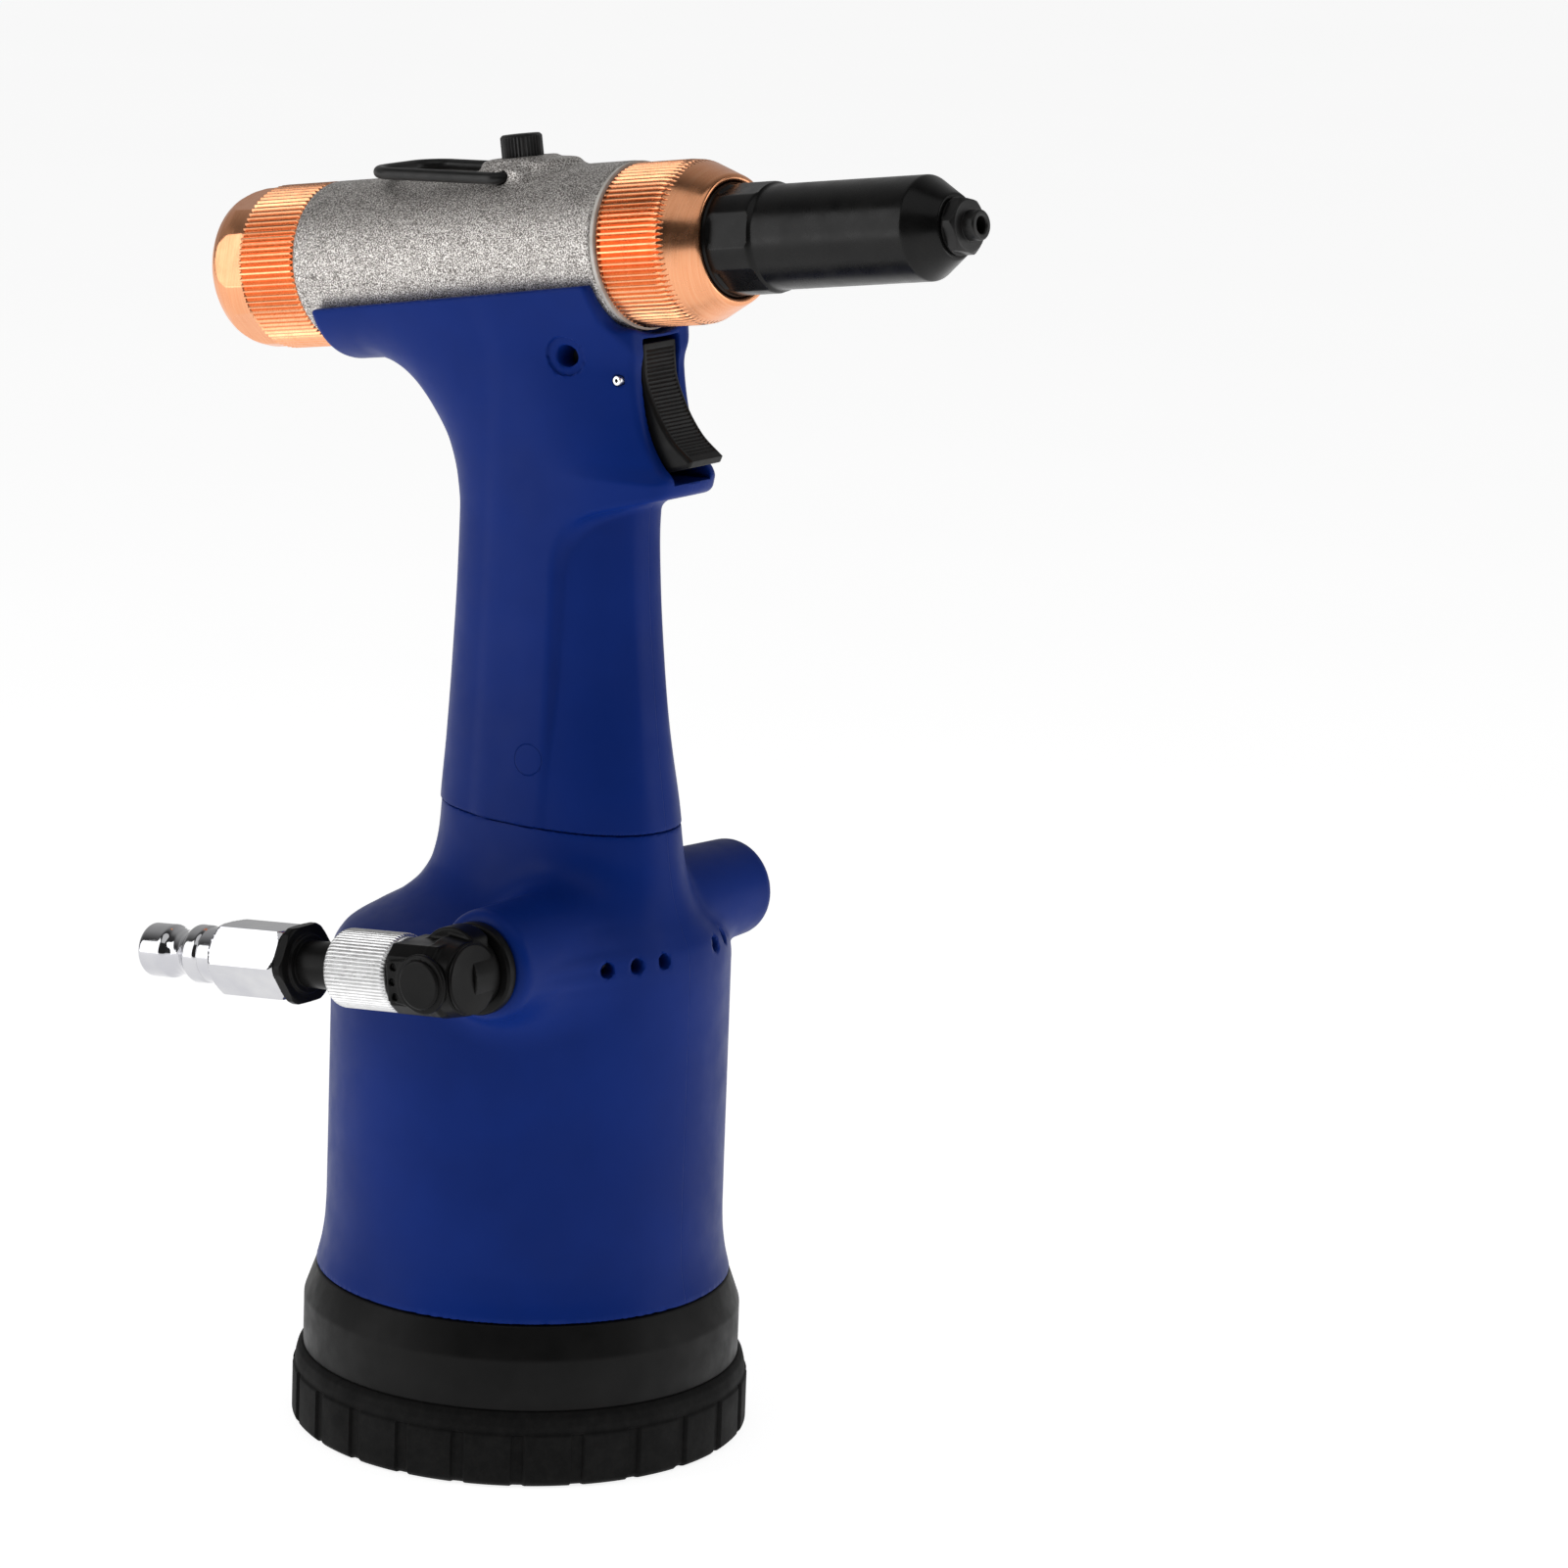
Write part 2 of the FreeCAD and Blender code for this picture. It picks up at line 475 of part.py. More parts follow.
# ---------------------------------------------------------------- all pieces
def main():
    os.makedirs("parts", exist_ok=True)
    save("base_boot", make_base_boot())
    save("bottom_cap", make_bottom_cap())
    save("cylinder_housing", make_housing())
    save("cylinder_liner", ring(LINER_R, CYL_BORE_R, 14.1, 91.9))
    save("cylinder_head", make_head())
    save("head_seal", ring(8.1, RAM_R + RUN, 88.1, 91.9))
    save("air_piston", make_air_piston())
    save("air_piston_seal", ring(CYL_BORE_R - 0.02, 33.1, 20.1, 23.9))
    save("ram", make_ram())
    save("ram_nut", hexagon(13.0, 0, 1.9, "y").cut(cyl(3.96, -1, 3, "y")).rotated(vec(0, 0, 0), FWD, 90)
         .translated(vec(0, 0, 15.0)))

    save("head_casting", make_casting())
    save("grip", make_grip())
    save("grip_screw", cyl(1.6, -5.5, 3.5, "y", x=16.0, z=227.0).fuse(
        cyl(2.2, -9.5, -5.4, "y", x=16.0, z=227.0)))
    save("hanger_loop", make_hanger())
    save("oil_screw", make_oil_screw())
    save("oil_screw_washer", on_barrel(ring(4.3, 2.6, 18.05, 18.75, x=HANG_S - 1.0)))

    save("rear_cap", make_rear_cap())
    save("return_spring", on_barrel(spring(8.0, 1.1, 59.4, 10).rotated(vec(0, 0, 0), SIDE, 90)
         .translated(vec(-73.7, 0, 0))))
    save("hydraulic_piston", make_piston())
    save("piston_seal", on_barrel(ring(OIL_BORE_R - 0.02, 10.9, -14.4, -9.6, "x")))
    save("rod_gland", make_gland())
    save("rod_seal", on_barrel(ring(8.9, ROD_R + RUN, 12.1, 16.9, "x")))
    save("front_collar", make_collar())
    save("collar_ring", on_barrel(ring(TUBE_R - 0.1, CAP_BORE_R + 0.05, TUBE_FRONT + 0.05, 24.05, "x")))
    save("nose_housing", make_nose_housing())
    save("jaw_case", make_jaw_case())
    save("jaws", make_jaws())
    save("jaw_pusher", on_barrel(ring(5.4, 1.6, 69.0, 77.7, "x")))
    save("jaw_spring", on_barrel(spring(4.3, 0.6, 22.0, 8).rotated(vec(0, 0, 0), SIDE, 90)
         .translated(vec(46.5, 0, 0))))
    save("nosepiece", make_nosepiece())

    save("trigger", make_trigger())
    save("trigger_pin", ring(0.99, 0.5, -PIN_HALF, PIN_HALF, "y", x=PIN_X, z=PIN_Z))
    save("trigger_rod", make_rod())
    save("valve_sleeve", make_valve_sleeve())
    save("valve_spool", make_spool())
    save("valve_spring", spring(3.2, 0.45, 12.2, 6).rotated(vec(0, 0, 0), FWD, -90)
         .translated(vec(VALVE_X, 20.3, VALVE_Z)))
    save("valve_plug", cyl(7.0, 33.1, 37.4, "y", x=VALVE_X, z=VALVE_Z))
    save("exhaust_pad", cyl(36.4, 103.3, 111.8).common(box(29.7, 40, -23.6, 23.6, 100, 113)))

    save("inlet_bushing", make_inlet_bushing())
    save("elbow_body", make_elbow())
    save("elbow_end_plug", on_arm(cyl(6.7, -6.9, -6.05, "x")))
    save("elbow_side_cap", make_side_cap())
    save("shutoff_sleeve", on_arm(ring(8.0, 4.8 + RUN, 9.7, 26.2, "x")))
    save("valve_stem", make_stem())
    save("air_plug", make_plug())


main()
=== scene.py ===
import json
import math

import bmesh
import bpy
import numpy as np
from mathutils import Matrix, Vector


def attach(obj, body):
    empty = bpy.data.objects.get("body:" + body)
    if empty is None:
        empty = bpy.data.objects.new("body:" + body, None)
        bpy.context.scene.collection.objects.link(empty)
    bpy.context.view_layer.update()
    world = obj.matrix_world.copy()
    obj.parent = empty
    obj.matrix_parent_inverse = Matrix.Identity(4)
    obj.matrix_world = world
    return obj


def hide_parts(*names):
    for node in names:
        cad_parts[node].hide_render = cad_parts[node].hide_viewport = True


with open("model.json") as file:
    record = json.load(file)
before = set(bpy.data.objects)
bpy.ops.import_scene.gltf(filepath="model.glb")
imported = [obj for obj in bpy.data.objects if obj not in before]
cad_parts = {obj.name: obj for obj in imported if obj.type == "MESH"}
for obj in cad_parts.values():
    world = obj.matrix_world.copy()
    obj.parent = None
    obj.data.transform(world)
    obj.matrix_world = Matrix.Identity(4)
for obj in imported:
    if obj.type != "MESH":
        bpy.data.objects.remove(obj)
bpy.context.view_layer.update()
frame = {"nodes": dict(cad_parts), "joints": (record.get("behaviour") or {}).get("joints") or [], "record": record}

# Lengths in this script are millimetres until a mesh is made. MM turns them into metres.
MM = 0.001
record = frame["record"]
joints = {j["name"]: j for j in frame["joints"]}
mounts = {m["name"]: m for m in record["mounts"]}


def row(vector):
    return np.array(vector, float)


# ---------------------------------------------------------------- places, taken from the frame
BARREL_AXIS = row(mounts["rivet_bore"]["axis"])
bore_place = row(mounts["rivet_bore"]["pos_m"]) / MM
BARREL_ZERO = bore_place - BARREL_AXIS * bore_place[0] / BARREL_AXIS[0]
BARREL_UP = np.array([-BARREL_AXIS[2], 0, BARREL_AXIS[0]])
SWIVEL = row(joints["air_line_swivel"]["pos_m"]) / MM
ARM_AXIS = row(joints["shutoff_slide"]["axis"])
ARM_UP = np.array([ARM_AXIS[2], 0, -ARM_AXIS[0]])
PIVOT = row(joints["trigger_pull"]["pos_m"]) / MM
SIDE = np.array([0.0, 1.0, 0.0])

BARREL_R = 16.9
BARREL_BORE_R = 14.2
BARREL_REAR, BARREL_FRONT = -54.8, 23.2      # along the barrel axis
SADDLE_R = 19.7
NECK_Z = 131.2                               # joint between the housing and the grip
SEAM_Z = 33.0                                # joint between the housing and the black cap


def along_barrel(x, z):
    """Station along the barrel axis and height over it."""
    z = z - BARREL_ZERO[2]
    return x * BARREL_AXIS[0] + z * BARREL_AXIS[2], x * BARREL_UP[0] + z * BARREL_UP[2]


def along_arm(x, z):
    """Distance from the swivel along the air line and height over it."""
    x = x - SWIVEL[0]
    z = z - SWIVEL[2]
    return x * ARM_AXIS[0] + z * ARM_AXIS[2], x * ARM_UP[0] + z * ARM_UP[2]


# ---------------------------------------------------------------- materials
def new_material(name, color, metallic, roughness, **sockets):
    """Principled material and its tree. Further sockets are set by name, underscores for spaces."""
    mat = bpy.data.materials.new(name)
    mat.use_nodes = True
    shader = mat.node_tree.nodes["Principled BSDF"]
    shader.inputs["Base Color"].default_value = (*color, 1)
    shader.inputs["Metallic"].default_value = metallic
    shader.inputs["Roughness"].default_value = roughness
    for key, value in sockets.items():
        shader.inputs[key.replace("_", " ")].default_value = value
    return mat, mat.node_tree, shader


def link(tree, source, output, target, socket):
    tree.links.new(source.outputs[output], target.inputs[socket])


def noise(tree, scale, detail=3.0, stretch=None, rough=0.55):
    """Noise over object coordinates. scale is in features per metre, stretch scales each axis."""
    coord = tree.nodes.new("ShaderNodeTexCoord")
    tex = tree.nodes.new("ShaderNodeTexNoise")
    tex.inputs["Scale"].default_value = scale
    tex.inputs["Detail"].default_value = detail
    tex.inputs["Roughness"].default_value = rough
    if stretch is None:
        link(tree, coord, "Object", tex, "Vector")
    else:
        turn, factors = stretch
        mapping = tree.nodes.new("ShaderNodeMapping")
        mapping.inputs["Rotation"].default_value = turn
        mapping.inputs["Scale"].default_value = factors
        link(tree, coord, "Object", mapping, "Vector")
        link(tree, mapping, "Vector", tex, "Vector")
    return tex


def ramp(tree, source, output, stops):
    node = tree.nodes.new("ShaderNodeValToRGB")
    elements = node.color_ramp.elements
    while len(elements) < len(stops):
        elements.new(0.5)
    for element, (place, color) in zip(elements, stops):
        element.position = place
        element.color = (*color, 1) if len(color) == 3 else color
    link(tree, source, output, node, "Fac")
    return node


def grey(value):
    return (value, value, value)


def vary_color(tree, shader, source, dark, light, low=0.35, high=0.65):
    node = ramp(tree, source, "Fac", [(low, dark), (high, light)])
    link(tree, node, "Color", shader, "Base Color")
    return node


def vary_roughness(tree, shader, source, low, high):
    node = tree.nodes.new("ShaderNodeMapRange")
    node.inputs["From Min"].default_value = 0.3
    node.inputs["From Max"].default_value = 0.7
    node.inputs["To Min"].default_value = low
    node.inputs["To Max"].default_value = high
    link(tree, source, "Fac", node, "Value")
    link(tree, node, "Result", shader, "Roughness")


def bumps(tree, shader, layers):
    """Chain of bumps. Each layer is (node, output, strength, height in mm)."""
    last = None
    for source, output, strength, height in layers:
        node = tree.nodes.new("ShaderNodeBump")
        node.inputs["Strength"].default_value = strength
        node.inputs["Distance"].default_value = height * MM
        link(tree, source, output, node, "Height")
        if last is not None:
            link(tree, last, "Normal", node, "Normal")
        last = node
    link(tree, last, "Normal", shader, "Normal")


BARREL_TURN = (0, math.asin(BARREL_AXIS[2]), 0)
ARM_TURN = (0, -math.asin(ARM_AXIS[2]), 0)
LATHE = (300.0, 6.0, 6.0)


PARTING_HALF = 0.14                          # half width of the line where the mould halves meet
MOULD_MARK = (10.8, 0.0, 145.0)
MARK_R, MARK_HALF = 3.2, 0.16


def distance_nodes(tree, keep, centre):
    """Distance in metres from a centre in millimetres, counting only the kept axes."""
    coord = tree.nodes.new("ShaderNodeTexCoord")
    shift = tree.nodes.new("ShaderNodeVectorMath")
    shift.operation = "SUBTRACT"
    shift.inputs[1].default_value = [c * MM for c in centre]
    link(tree, coord, "Object", shift, 0)
    mask = tree.nodes.new("ShaderNodeVectorMath")
    mask.operation = "MULTIPLY"
    mask.inputs[1].default_value = keep
    link(tree, shift, "Vector", mask, 0)
    length = tree.nodes.new("ShaderNodeVectorMath")
    length.operation = "LENGTH"
    link(tree, mask, "Vector", length, 0)
    return length


def line_of(tree, distance, at, half):
    """1 away from the line and 0 on it. The line lies where the distance is at, all in millimetres."""
    off = tree.nodes.new("ShaderNodeMath")
    off.operation = "SUBTRACT"
    off.inputs[1].default_value = at * MM
    link(tree, distance, "Value", off, 0)
    size = tree.nodes.new("ShaderNodeMath")
    size.operation = "ABSOLUTE"
    link(tree, off, "Value", size, 0)
    scale = tree.nodes.new("ShaderNodeMapRange")
    scale.inputs["From Max"].default_value = half * MM
    link(tree, size, "Value", scale, "Value")
    return scale


def blue_shell():
    """Blue paint and plastic, with the parting line and the round mould mark pressed in."""
    mat, tree, shader = new_material("blue_moulding", (0.004, 0.024, 0.19), 0.0, 0.42,
                                     Specular_IOR_Level=0.08)
    clouds = noise(tree, 28, 4)
    vary_color(tree, shader, clouds, (0.0034, 0.0225, 0.178), (0.0044, 0.0275, 0.214))
    vary_roughness(tree, shader, noise(tree, 160, 5), 0.36, 0.47)
    grain = noise(tree, 3200, 2)
    flow = noise(tree, 60, 2)
    seam = line_of(tree, distance_nodes(tree, (0, 1, 0), (0, 0, 0)), 0.0, PARTING_HALF)
    ring = line_of(tree, distance_nodes(tree, (1, 0, 1), MOULD_MARK), MARK_R, MARK_HALF)
    bumps(tree, shader, [(flow, "Fac", 0.10, 0.25), (grain, "Fac", 0.10, 0.03), (seam, "Result", 0.5, 0.12),
                         (ring, "Result", 0.8, 0.2)])
    return mat


def boot_rubber():
    mat, tree, shader = new_material("boot_rubber", grey(0.008), 0.0, 0.7, Specular_IOR_Level=0.12)
    dust = noise(tree, 420, 8, rough=0.7)
    vary_color(tree, shader, dust, grey(0.0055), (0.0125, 0.012, 0.0115), 0.42, 0.78)
    vary_roughness(tree, shader, noise(tree, 90, 6), 0.62, 0.82)
    bumps(tree, shader, [(noise(tree, 240, 5), "Fac", 0.25, 0.12),
                         (noise(tree, 2600, 3), "Fac", 0.3, 0.05)])
    return mat


def black_cap():
    mat, tree, shader = new_material("black_cap", grey(0.006), 0.0, 0.42, Specular_IOR_Level=0.14)
    vary_color(tree, shader, noise(tree, 70, 5), grey(0.0045), (0.0075, 0.0073, 0.0071))
    vary_roughness(tree, shader, noise(tree, 200, 4), 0.40, 0.55)
    bumps(tree, shader, [(noise(tree, 2200, 3), "Fac", 0.16, 0.04)])
    return mat


def blended(tree, first, second, share):
    """Mix of two noises, with the second one's share."""
    scaled = tree.nodes.new("ShaderNodeMath")
    scaled.operation = "MULTIPLY"
    scaled.inputs[1].default_value = share
    link(tree, second, "Fac", scaled, 0)
    mix = tree.nodes.new("ShaderNodeMath")
    mix.operation = "MULTIPLY_ADD"
    mix.inputs[1].default_value = 1 - share
    link(tree, first, "Fac", mix, 0)
    link(tree, scaled, "Value", mix, 2)
    return mix


def cast_aluminium():
    """Sand-cast skin: dark pits and bright grains."""
    mat, tree, shader = new_material("cast_aluminium", (0.5, 0.46, 0.43), 0.75, 0.5)
    grains = noise(tree, 3600, 2, rough=0.6)
    patches = noise(tree, 420, 4, rough=0.6)
    color = ramp(tree, blended(tree, grains, patches, 0.1), "Value",
                 [(0.41, (0.16, 0.147, 0.136)), (0.5, (0.47, 0.435, 0.41)), (0.59, (0.97, 0.94, 0.91))])
    link(tree, color, "Color", shader, "Base Color")
    vary_roughness(tree, shader, noise(tree, 1500, 3), 0.40, 0.62)
    bumps(tree, shader, [(noise(tree, 260, 3), "Fac", 0.12, 0.2), (grains, "Fac", 0.5, 0.1)])
    return mat


def copper_anodised():
    mat, tree, shader = new_material("copper_anodised", (0.92, 0.41, 0.205), 1.0, 0.24, Anisotropic=0.3)
    lines = noise(tree, 14, 2, (BARREL_TURN, LATHE))
    vary_color(tree, shader, lines, (0.86, 0.37, 0.18), (0.93, 0.44, 0.235))
    vary_roughness(tree, shader, noise(tree, 300, 4), 0.19, 0.31)
    bumps(tree, shader, [(lines, "Fac", 0.12, 0.03), (noise(tree, 1200, 3), "Fac", 0.05, 0.02)])
    return mat


def turned_black(name, turn, rough, shine):
    """Black anodised aluminium with faint turning marks. turn lays them round the piece's axis."""
    mat, tree, shader = new_material(name, grey(0.006), 0.0, rough, Specular_IOR_Level=shine)
    lines = noise(tree, 14, 2, (turn, LATHE))
    vary_color(tree, shader, noise(tree, 140, 6), grey(0.004), (0.008, 0.0077, 0.0075))
    vary_roughness(tree, shader, noise(tree, 240, 5), rough - 0.06, rough + 0.07)
    bumps(tree, shader, [(lines, "Fac", 0.04, 0.02), (noise(tree, 1800, 3), "Fac", 0.06, 0.02)])
    return mat


def black_steel():
    mat, tree, shader = new_material("black_oxide_steel", grey(0.008), 0.0, 0.36, Specular_IOR_Level=0.4)
    vary_color(tree, shader, noise(tree, 500, 6), grey(0.005), (0.015, 0.0135, 0.013), 0.4, 0.8)
    vary_roughness(tree, shader, noise(tree, 260, 5), 0.34, 0.5)
    bumps(tree, shader, [(noise(tree, 900, 4), "Fac", 0.12, 0.05)])
    return mat


def black_plastic():
    mat, tree, shader = new_material("black_plastic", grey(0.006), 0.0, 0.4, Specular_IOR_Level=0.2)
    vary_color(tree, shader, noise(tree, 120, 5), grey(0.0045), (0.008, 0.0077, 0.0077))
    vary_roughness(tree, shader, noise(tree, 300, 4), 0.36, 0.5)
    bumps(tree, shader, [(noise(tree, 2800, 2), "Fac", 0.12, 0.03)])
    return mat


def chrome_plate():
    mat, tree, shader = new_material("chrome_plate", (0.62, 0.62, 0.64), 1.0, 0.07)
    vary_color(tree, shader, noise(tree, 90, 3), (0.57, 0.57, 0.60), (0.67, 0.67, 0.68))
    vary_roughness(tree, shader, noise(tree, 500, 5), 0.045, 0.12)
    bumps(tree, shader, [(noise(tree, 260, 3), "Fac", 0.08, 0.06)])
    return mat


def bright_aluminium():
    mat, tree, shader = new_material("bright_aluminium", grey(0.74), 1.0, 0.3)
    lines = noise(tree, 14, 2, (ARM_TURN, LATHE))
    vary_color(tree, shader, noise(tree, 700, 6), grey(0.68), grey(0.8))
    vary_roughness(tree, shader, noise(tree, 400, 4), 0.24, 0.4)
    bumps(tree, shader, [(lines, "Fac", 0.15, 0.03), (noise(tree, 1500, 4), "Fac", 0.12, 0.03)])
    return mat


def plain_metal(name, dark, light, rough):
    mat, tree, shader = new_material(name, light, 1.0, rough)
    vary_color(tree, shader, noise(tree, 200, 5), dark, light)
    vary_roughness(tree, shader, noise(tree, 350, 4), rough - 0.06, rough + 0.08)
    bumps(tree, shader, [(noise(tree, 1600, 3, ((0, 0, 0), (1, 1, 8))), "Fac", 0.1, 0.03)])
    return mat


def plain_soft(name, dark, light, rough, scale):
    mat, tree, shader = new_material(name, light, 0.0, rough)
    vary_color(tree, shader, noise(tree, scale, 6), dark, light)
    vary_roughness(tree, shader, noise(tree, scale / 2, 4), rough - 0.08, rough + 0.08)
    bumps(tree, shader, [(noise(tree, scale * 4, 3), "Fac", 0.25, 0.06)])
    return mat


MATERIALS = {
    "blue_shell": blue_shell(),
    "boot_rubber": boot_rubber(),
    "black_cap": black_cap(),
    "cast_aluminium": cast_aluminium(),
    "copper_anodised": copper_anodised(),
    "black_nose": turned_black("black_nose", BARREL_TURN, 0.28, 0.22),
    "black_anodised": turned_black("black_anodised", ARM_TURN, 0.34, 0.12),
    "black_steel": black_steel(),
    "black_plastic": black_plastic(),
    "chrome_plate": chrome_plate(),
    "bright_aluminium": bright_aluminium(),
    "pale_gasket": plain_soft("pale_gasket", (0.62, 0.58, 0.53), (0.80, 0.77, 0.72), 0.5, 300),
    "machined_aluminium": plain_metal("machined_aluminium", grey(0.62), grey(0.8), 0.3),
    "ground_steel": plain_metal("ground_steel", grey(0.45), grey(0.62), 0.22),
    "spring_steel": plain_metal("spring_steel", grey(0.3), grey(0.45), 0.3),
    "seal_rubber": plain_soft("seal_rubber", grey(0.01), grey(0.02), 0.55, 400),
    "felt": plain_soft("felt", grey(0.5), grey(0.7), 0.9, 900),
}


# ---------------------------------------------------------------- making meshes
def finish_mesh(name, vertices, faces, slot, body, nodes, sharp):
    """Object from vertices in millimetres and an array of quads, riding on a body."""
    mesh = bpy.data.meshes.new(name)
    vertices = np.asarray(vertices, np.float32) * MM
    faces = np.asarray(faces, np.int32)
    mesh.vertices.add(len(vertices))
    mesh.vertices.foreach_set("co", vertices.ravel())
    mesh.loops.add(faces.size)
    mesh.loops.foreach_set("vertex_index", faces.ravel())
    mesh.polygons.add(len(faces))
    mesh.polygons.foreach_set("loop_start", np.arange(0, faces.size, 4, dtype=np.int32))
    mesh.update(calc_edges=True)
    mesh.validate()
    mesh.shade_smooth()
    mesh.set_sharp_from_angle(angle=math.radians(sharp))
    obj = bpy.data.objects.new(name, mesh)
    bpy.context.scene.collection.objects.link(obj)
    mesh.materials.append(MATERIALS[slot])
    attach(obj, body)
    if nodes:
        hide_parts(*nodes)
    return obj


def surface_net(field, low, high, step):
    """Quads of the surface where field is zero, on a grid of cubes. Negative is inside."""
    axes = [np.arange(a, b + step, step) for a, b in zip(low, high)]
    values = field(axes[0][:, None, None], axes[1][None, :, None], axes[2][None, None, :])
    values = np.broadcast_to(values, [len(a) for a in axes])
    inside = values < 0
    nx, ny, nz = inside.shape
    corners = [(i, j, k) for i in (0, 1) for j in (0, 1) for k in (0, 1)]
    count = sum(inside[i:nx - 1 + i, j:ny - 1 + j, k:nz - 1 + k].astype(np.int8) for i, j, k in corners)
    cells = np.argwhere((count > 0) & (count < 8))
    number = np.full((nx - 1, ny - 1, nz - 1), -1, np.int64)
    number[tuple(cells.T)] = np.arange(len(cells))
    total = np.zeros((len(cells), 3))
    hits = np.zeros(len(cells))
    for a in corners:
        for axis in range(3):
            if a[axis]:
                continue
            b = tuple(v + (n == axis) for n, v in enumerate(a))
            va = values[tuple((cells + a).T)]
            vb = values[tuple((cells + b).T)]
            cut = (va < 0) != (vb < 0)
            share = np.where(cut, va / np.where(cut, va - vb, 1), 0)
            place = np.array(a, float) + share[:, None] * (np.array(b) - np.array(a))
            total += np.where(cut[:, None], place, 0)
            hits += cut
    vertices = np.array(low) + step * (cells + total / hits[:, None])
    faces = []
    for axis in range(3):
        u, v = (axis + 1) % 3, (axis + 2) % 3
        near = [slice(1, n - 1) for n in inside.shape]
        near[axis] = slice(0, inside.shape[axis] - 1)
        far = list(near)
        far[axis] = slice(1, inside.shape[axis])
        first = inside[tuple(near)]
        second = inside[tuple(far)]
        start = np.array([s.start for s in near])
        for leaving, mask in ((True, first & ~second), (False, second & ~first)):
            place = np.argwhere(mask) + start
            du = np.eye(3, dtype=int)[u]
            dv = np.eye(3, dtype=int)[v]
            around = [place - du - dv, place - dv, place, place - du]
            quad = np.stack([number[tuple(p.T)] for p in around], 1)
            faces.append(quad if leaving else quad[:, ::-1])
    return vertices, np.concatenate(faces)


def settle(field, vertices, step):
    """Move each vertex onto the surface along the field's slope."""
    reach = 0.04
    for _ in range(4):
        x, y, z = vertices.T
        value = field(x, y, z)
        slope = np.stack([field(x + reach, y, z) - field(x - reach, y, z),
                          field(x, y + reach, z) - field(x, y - reach, z),
                          field(x, y, z + reach) - field(x, y, z - reach)], 1) / (2 * reach)
        move = value[:, None] * slope / np.maximum((slope ** 2).sum(1), 0.1)[:, None]
        length = np.linalg.norm(move, axis=1, keepdims=True)
        vertices = vertices - move * np.minimum(1, 0.6 * step / np.maximum(length, 1e-9))
    return vertices


def sculpt(name, field, low, high, step, slot, body, nodes=(), sharp=40.0):
    """Piece whose shape is a distance field, negative inside."""
    vertices, faces = surface_net(field, low, high, step)
    vertices = settle(field, vertices, step)
    return finish_mesh(name, vertices, faces, slot, body, nodes, sharp)


def rounded(points, radius):
    """Outline with each corner replaced by a short arc."""
    points = [np.array(p, float) for p in points]
    out = [points[0]]
    for before, corner, after in zip(points, points[1:], points[2:]):
        size = min(radius, 0.45 * np.linalg.norm(corner - before), 0.45 * np.linalg.norm(after - corner))
        start = corner + (before - corner) / np.linalg.norm(before - corner) * size
        end = corner + (after - corner) / np.linalg.norm(after - corner) * size
        for t in (0, 0.33, 0.67, 1):
            out.append((1 - t) ** 2 * start + 2 * t * (1 - t) * corner + t * t * end)
    out.append(points[-1])
    return out


def divided(points, longest):
    """Outline with its long runs divided."""
    out = [points[0]]
    for a, b in zip(points, points[1:]):
        parts = max(1, math.ceil(np.linalg.norm(np.array(b) - np.array(a)) / longest))
        for n in range(1, parts + 1):
            out.append(np.array(a) + (np.array(b) - np.array(a)) * n / parts)
    return out


def turned(name, outline, place, slot, body, nodes=(), form=None, sides=128, corner=0.3, longest=50.0,
           sharp=35.0):
    """Turned piece. outline is (station, radius); place is (origin, axis, up); form changes the radius."""
    points = divided(rounded(outline, corner), longest)
    stations = np.array([p[0] for p in points])
    radii = np.array([p[1] for p in points])
    angles = np.arange(sides) * 2 * math.pi / sides
    s = stations[:, None] + 0 * angles
    r = radii[:, None] + 0 * angles
    a = angles + 0 * s
    if form is not None:
        r = np.where(r > 0, form(s, r, a), r)
    origin, axis, up = place
    side = np.cross(up, axis)
    position = (origin + s[..., None] * axis + (r * np.sin(a))[..., None] * up
                + (r * np.cos(a))[..., None] * side)
    rows = len(points)
    index = np.arange(rows * sides).reshape(rows, sides)
    index[radii == 0] = index[radii == 0][:, :1]
    closed = np.linalg.norm(points[0] - points[-1]) < 1e-6 and radii[0] > 0
    if closed:
        index[-1] = index[0]
    quads = []
    for n in range(rows - 1):
        here, there = index[n], index[n + 1]
        quads.append(np.stack([here, there, np.roll(there, -1), np.roll(here, -1)], 1))
    quads = np.concatenate(quads)
    return revolve_object(name, position.reshape(-1, 3), quads, slot, body, nodes, sharp)


def revolve_object(name, vertices, quads, slot, body, nodes, sharp):
    """Like finish_mesh, for quads of which some are triangles because they meet the axis."""
    faces = []
    for quad in quads.tolist():
        face = [v for n, v in enumerate(quad) if v != quad[n - 1]]
        if len(face) > 2:
            faces.append(face)
    used = sorted({v for face in faces for v in face})
    new = {v: n for n, v in enumerate(used)}
    mesh = bpy.data.meshes.new(name)
    mesh.from_pydata((vertices[used] * MM).tolist(), [], [[new[v] for v in face] for face in faces])
    mesh.validate()
    obj = bpy.data.objects.new(name, mesh)
    bpy.context.scene.collection.objects.link(obj)
    fix_normals(mesh)
    mesh.shade_smooth()
    mesh.set_sharp_from_angle(angle=math.radians(sharp))
    mesh.materials.append(MATERIALS[slot])
    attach(obj, body)
    if nodes:
        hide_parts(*nodes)
    return obj


def fix_normals(mesh):
    """Turn every face outwards."""
    work = bmesh.new()
    work.from_mesh(mesh)
    bmesh.ops.recalc_face_normals(work, faces=work.faces)
    work.to_mesh(mesh)
    work.free()


# ---------------------------------------------------------------- distance fields
def join(a, b, blend):
    """Union with a fillet about as wide as blend."""
    h = np.clip(0.5 + 0.5 * (b - a) / blend, 0, 1)
    return b * (1 - h) + a * h - blend * h * (1 - h)


